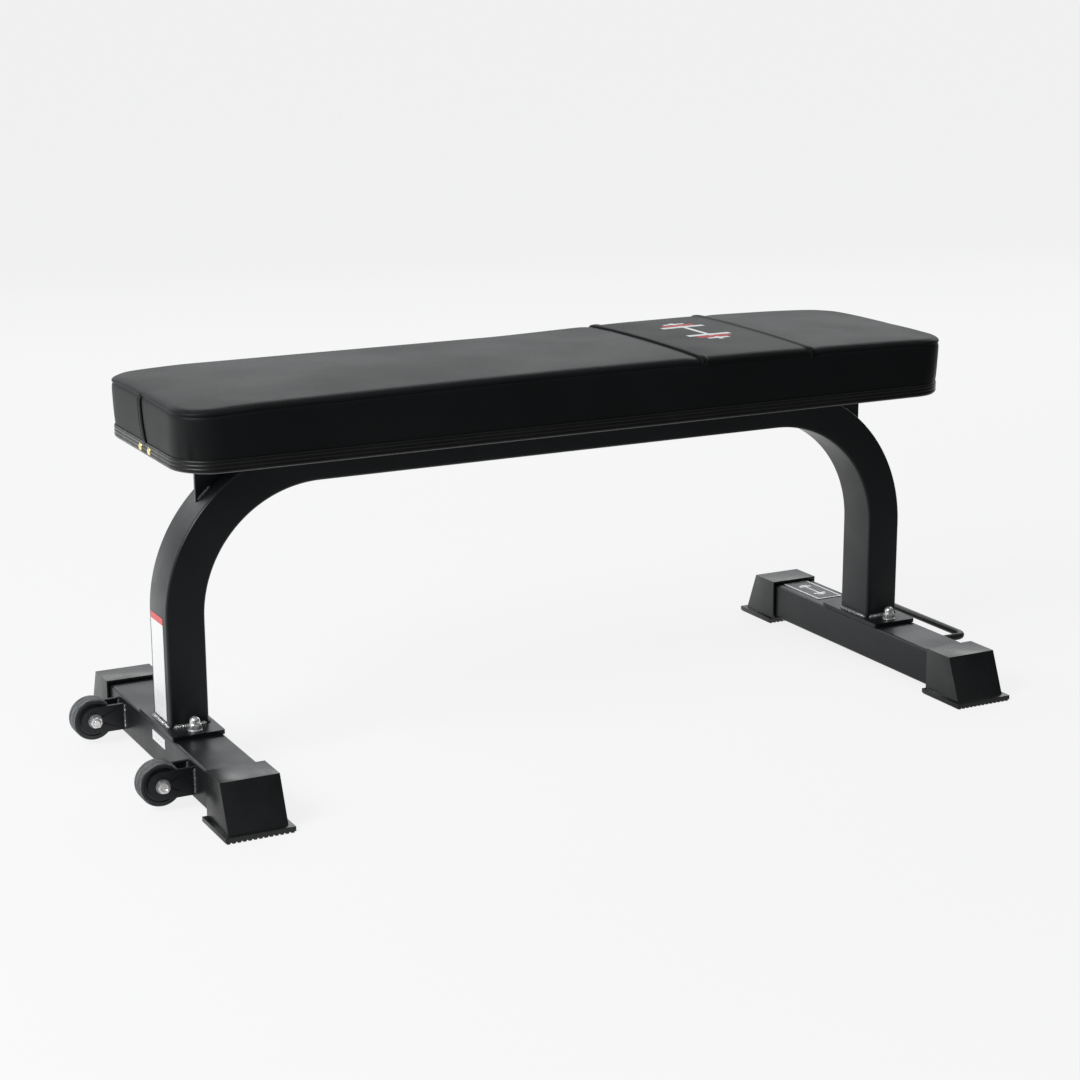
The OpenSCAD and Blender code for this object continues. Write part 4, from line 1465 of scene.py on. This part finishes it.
def outlineRun(grow, z, startY, gap):  # the pad's outline, opened by a gap on the wheel end
    long, wide = halfLong + grow, halfWide + grow
    quarters = ((-1, -1, 180), (1, -1, 270), (1, 1, 0), (-1, 1, 90))
    points = [(-long, startY - gap / 2)]
    points += roundedOutline(long, wide, pad["corner"] + grow, quarters, 16)
    points.append((-long, startY + gap / 2))
    return [(padMiddle.x + x, y, z) for x, y in points]


def makeTrim():
    path = outlineRun(0.0, padLow.z, trim["join"], trim["gap"])
    values = {"High": trim["high"], "Ribs": 3, "Base": trim["base"], "Rib": trim["rib"], "Fine": 37,
              "Material": trimBlack}
    strip = grown(pathCurves("edge-trim-ribbed", [path]), ribTrim, values)
    wall = strip.modifiers.new("wall", "SOLIDIFY")
    wall.thickness = trim["base"]
    wall.offset = -1
    strip = flatten(strip, 50)
    settle(strip, "frame", "trim_strip", "edge_trim")


def makeTacks():
    low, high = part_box("trim_tacks")
    r = (high.z - low.z) / 2
    out = Matrix.Rotation(-math.pi / 2, 4, "Y")
    base = high.x
    profile = [(0, -0.0012), (0.0012, -0.0012), (0.0012, 0.0)]
    profile += [(r, 0.0), (r, 0.0004)]
    tall = high.x - low.x
    for i in range(1, 9):
        turn = math.pi / 2 * i / 8
        profile.append((r * math.cos(turn), 0.0004 + (tall - 0.0004) * math.sin(turn)))
    profile[-1] = (0, tall)
    tacks = []
    for y in (low.y + r, high.y - r):
        place = Matrix.Translation((base, y, (low.z + high.z) / 2)) @ out
        tacks.append(turned("tack", profile, brassYellow, place, 32))
    settle(joined("trim-tacks-domed", tacks), "frame", "brass", "trim_tacks")


def makeSeamFlap():  # the lap of the cover's end seam
    heights = [0.0128 + 0.0497 * i / 26 for i in range(27)]
    across = [0, 0.0002, 0.0006, 0.0014, 0.0028, 0.0042, 0.005, 0.0056, 0.0062, 0.007, 0.0085, 0.0096,
              0.0103, 0.0107, 0.0108]
    verts, upper, lower = [], {}, {}
    for i, height in enumerate(heights):
        edge = seamY(height)
        for j, offset in enumerate(across):
            place, normal = onCover((padLow.x - 0.03, edge + offset, padLow.z + height), (1, 0, 0))
            t = endSeam["flapThick"] * (0.35 + 0.65 * math.sqrt(1 - (1 - min(1.0, offset / 0.0007)) ** 2))
            t *= 0.1 + 0.9 * math.sqrt(1 - (1 - min(1.0, (endSeam["flapWide"] - offset) / 0.0012)) ** 2)
            t -= 0.0007 * math.exp(-((offset - endSeam["stitchIn"]) / 0.0009) ** 2)
            t *= smoothStep(min(i, 26 - i), -1.2, 1.5)
            upper[i, j] = len(verts)
            verts.append(place + normal * (t + 0.0001))
            lower[i, j] = len(verts)
            verts.append(place - normal * 0.0004)
    faces = [face[::-1] for face in shellFaces(upper, lower)]
    flap = meshPiece("cover-end-lap", verts, faces, padBlack, 60)
    settle(smoothed(flap, 60), "frame", "pad_vinyl")


def makeStitchesAndStaples():
    layStitches("rim", pathCurves("rim-stitches", [rimRun(stitch["rimInset"], 0.00005)], True), "pad_vinyl")
    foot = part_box("pad_backing")[0].z
    values = {"Pitch": staple["pitch"], "Wide": staple["wide"], "Wire": staple["wire"], "Material": zincDull}
    path = outlineRun(-staple["inset"], foot - 0.00015, trim["join"], 0.012)
    settle(grown(pathCurves("backing-staples", [path]), stapleRun, values, 35), "frame", "dull_zinc")


makeTrim()
makeTacks()
makeSeamFlap()
makeStitchesAndStaples()
print("trim, tacks, lap, stitches and staples made")
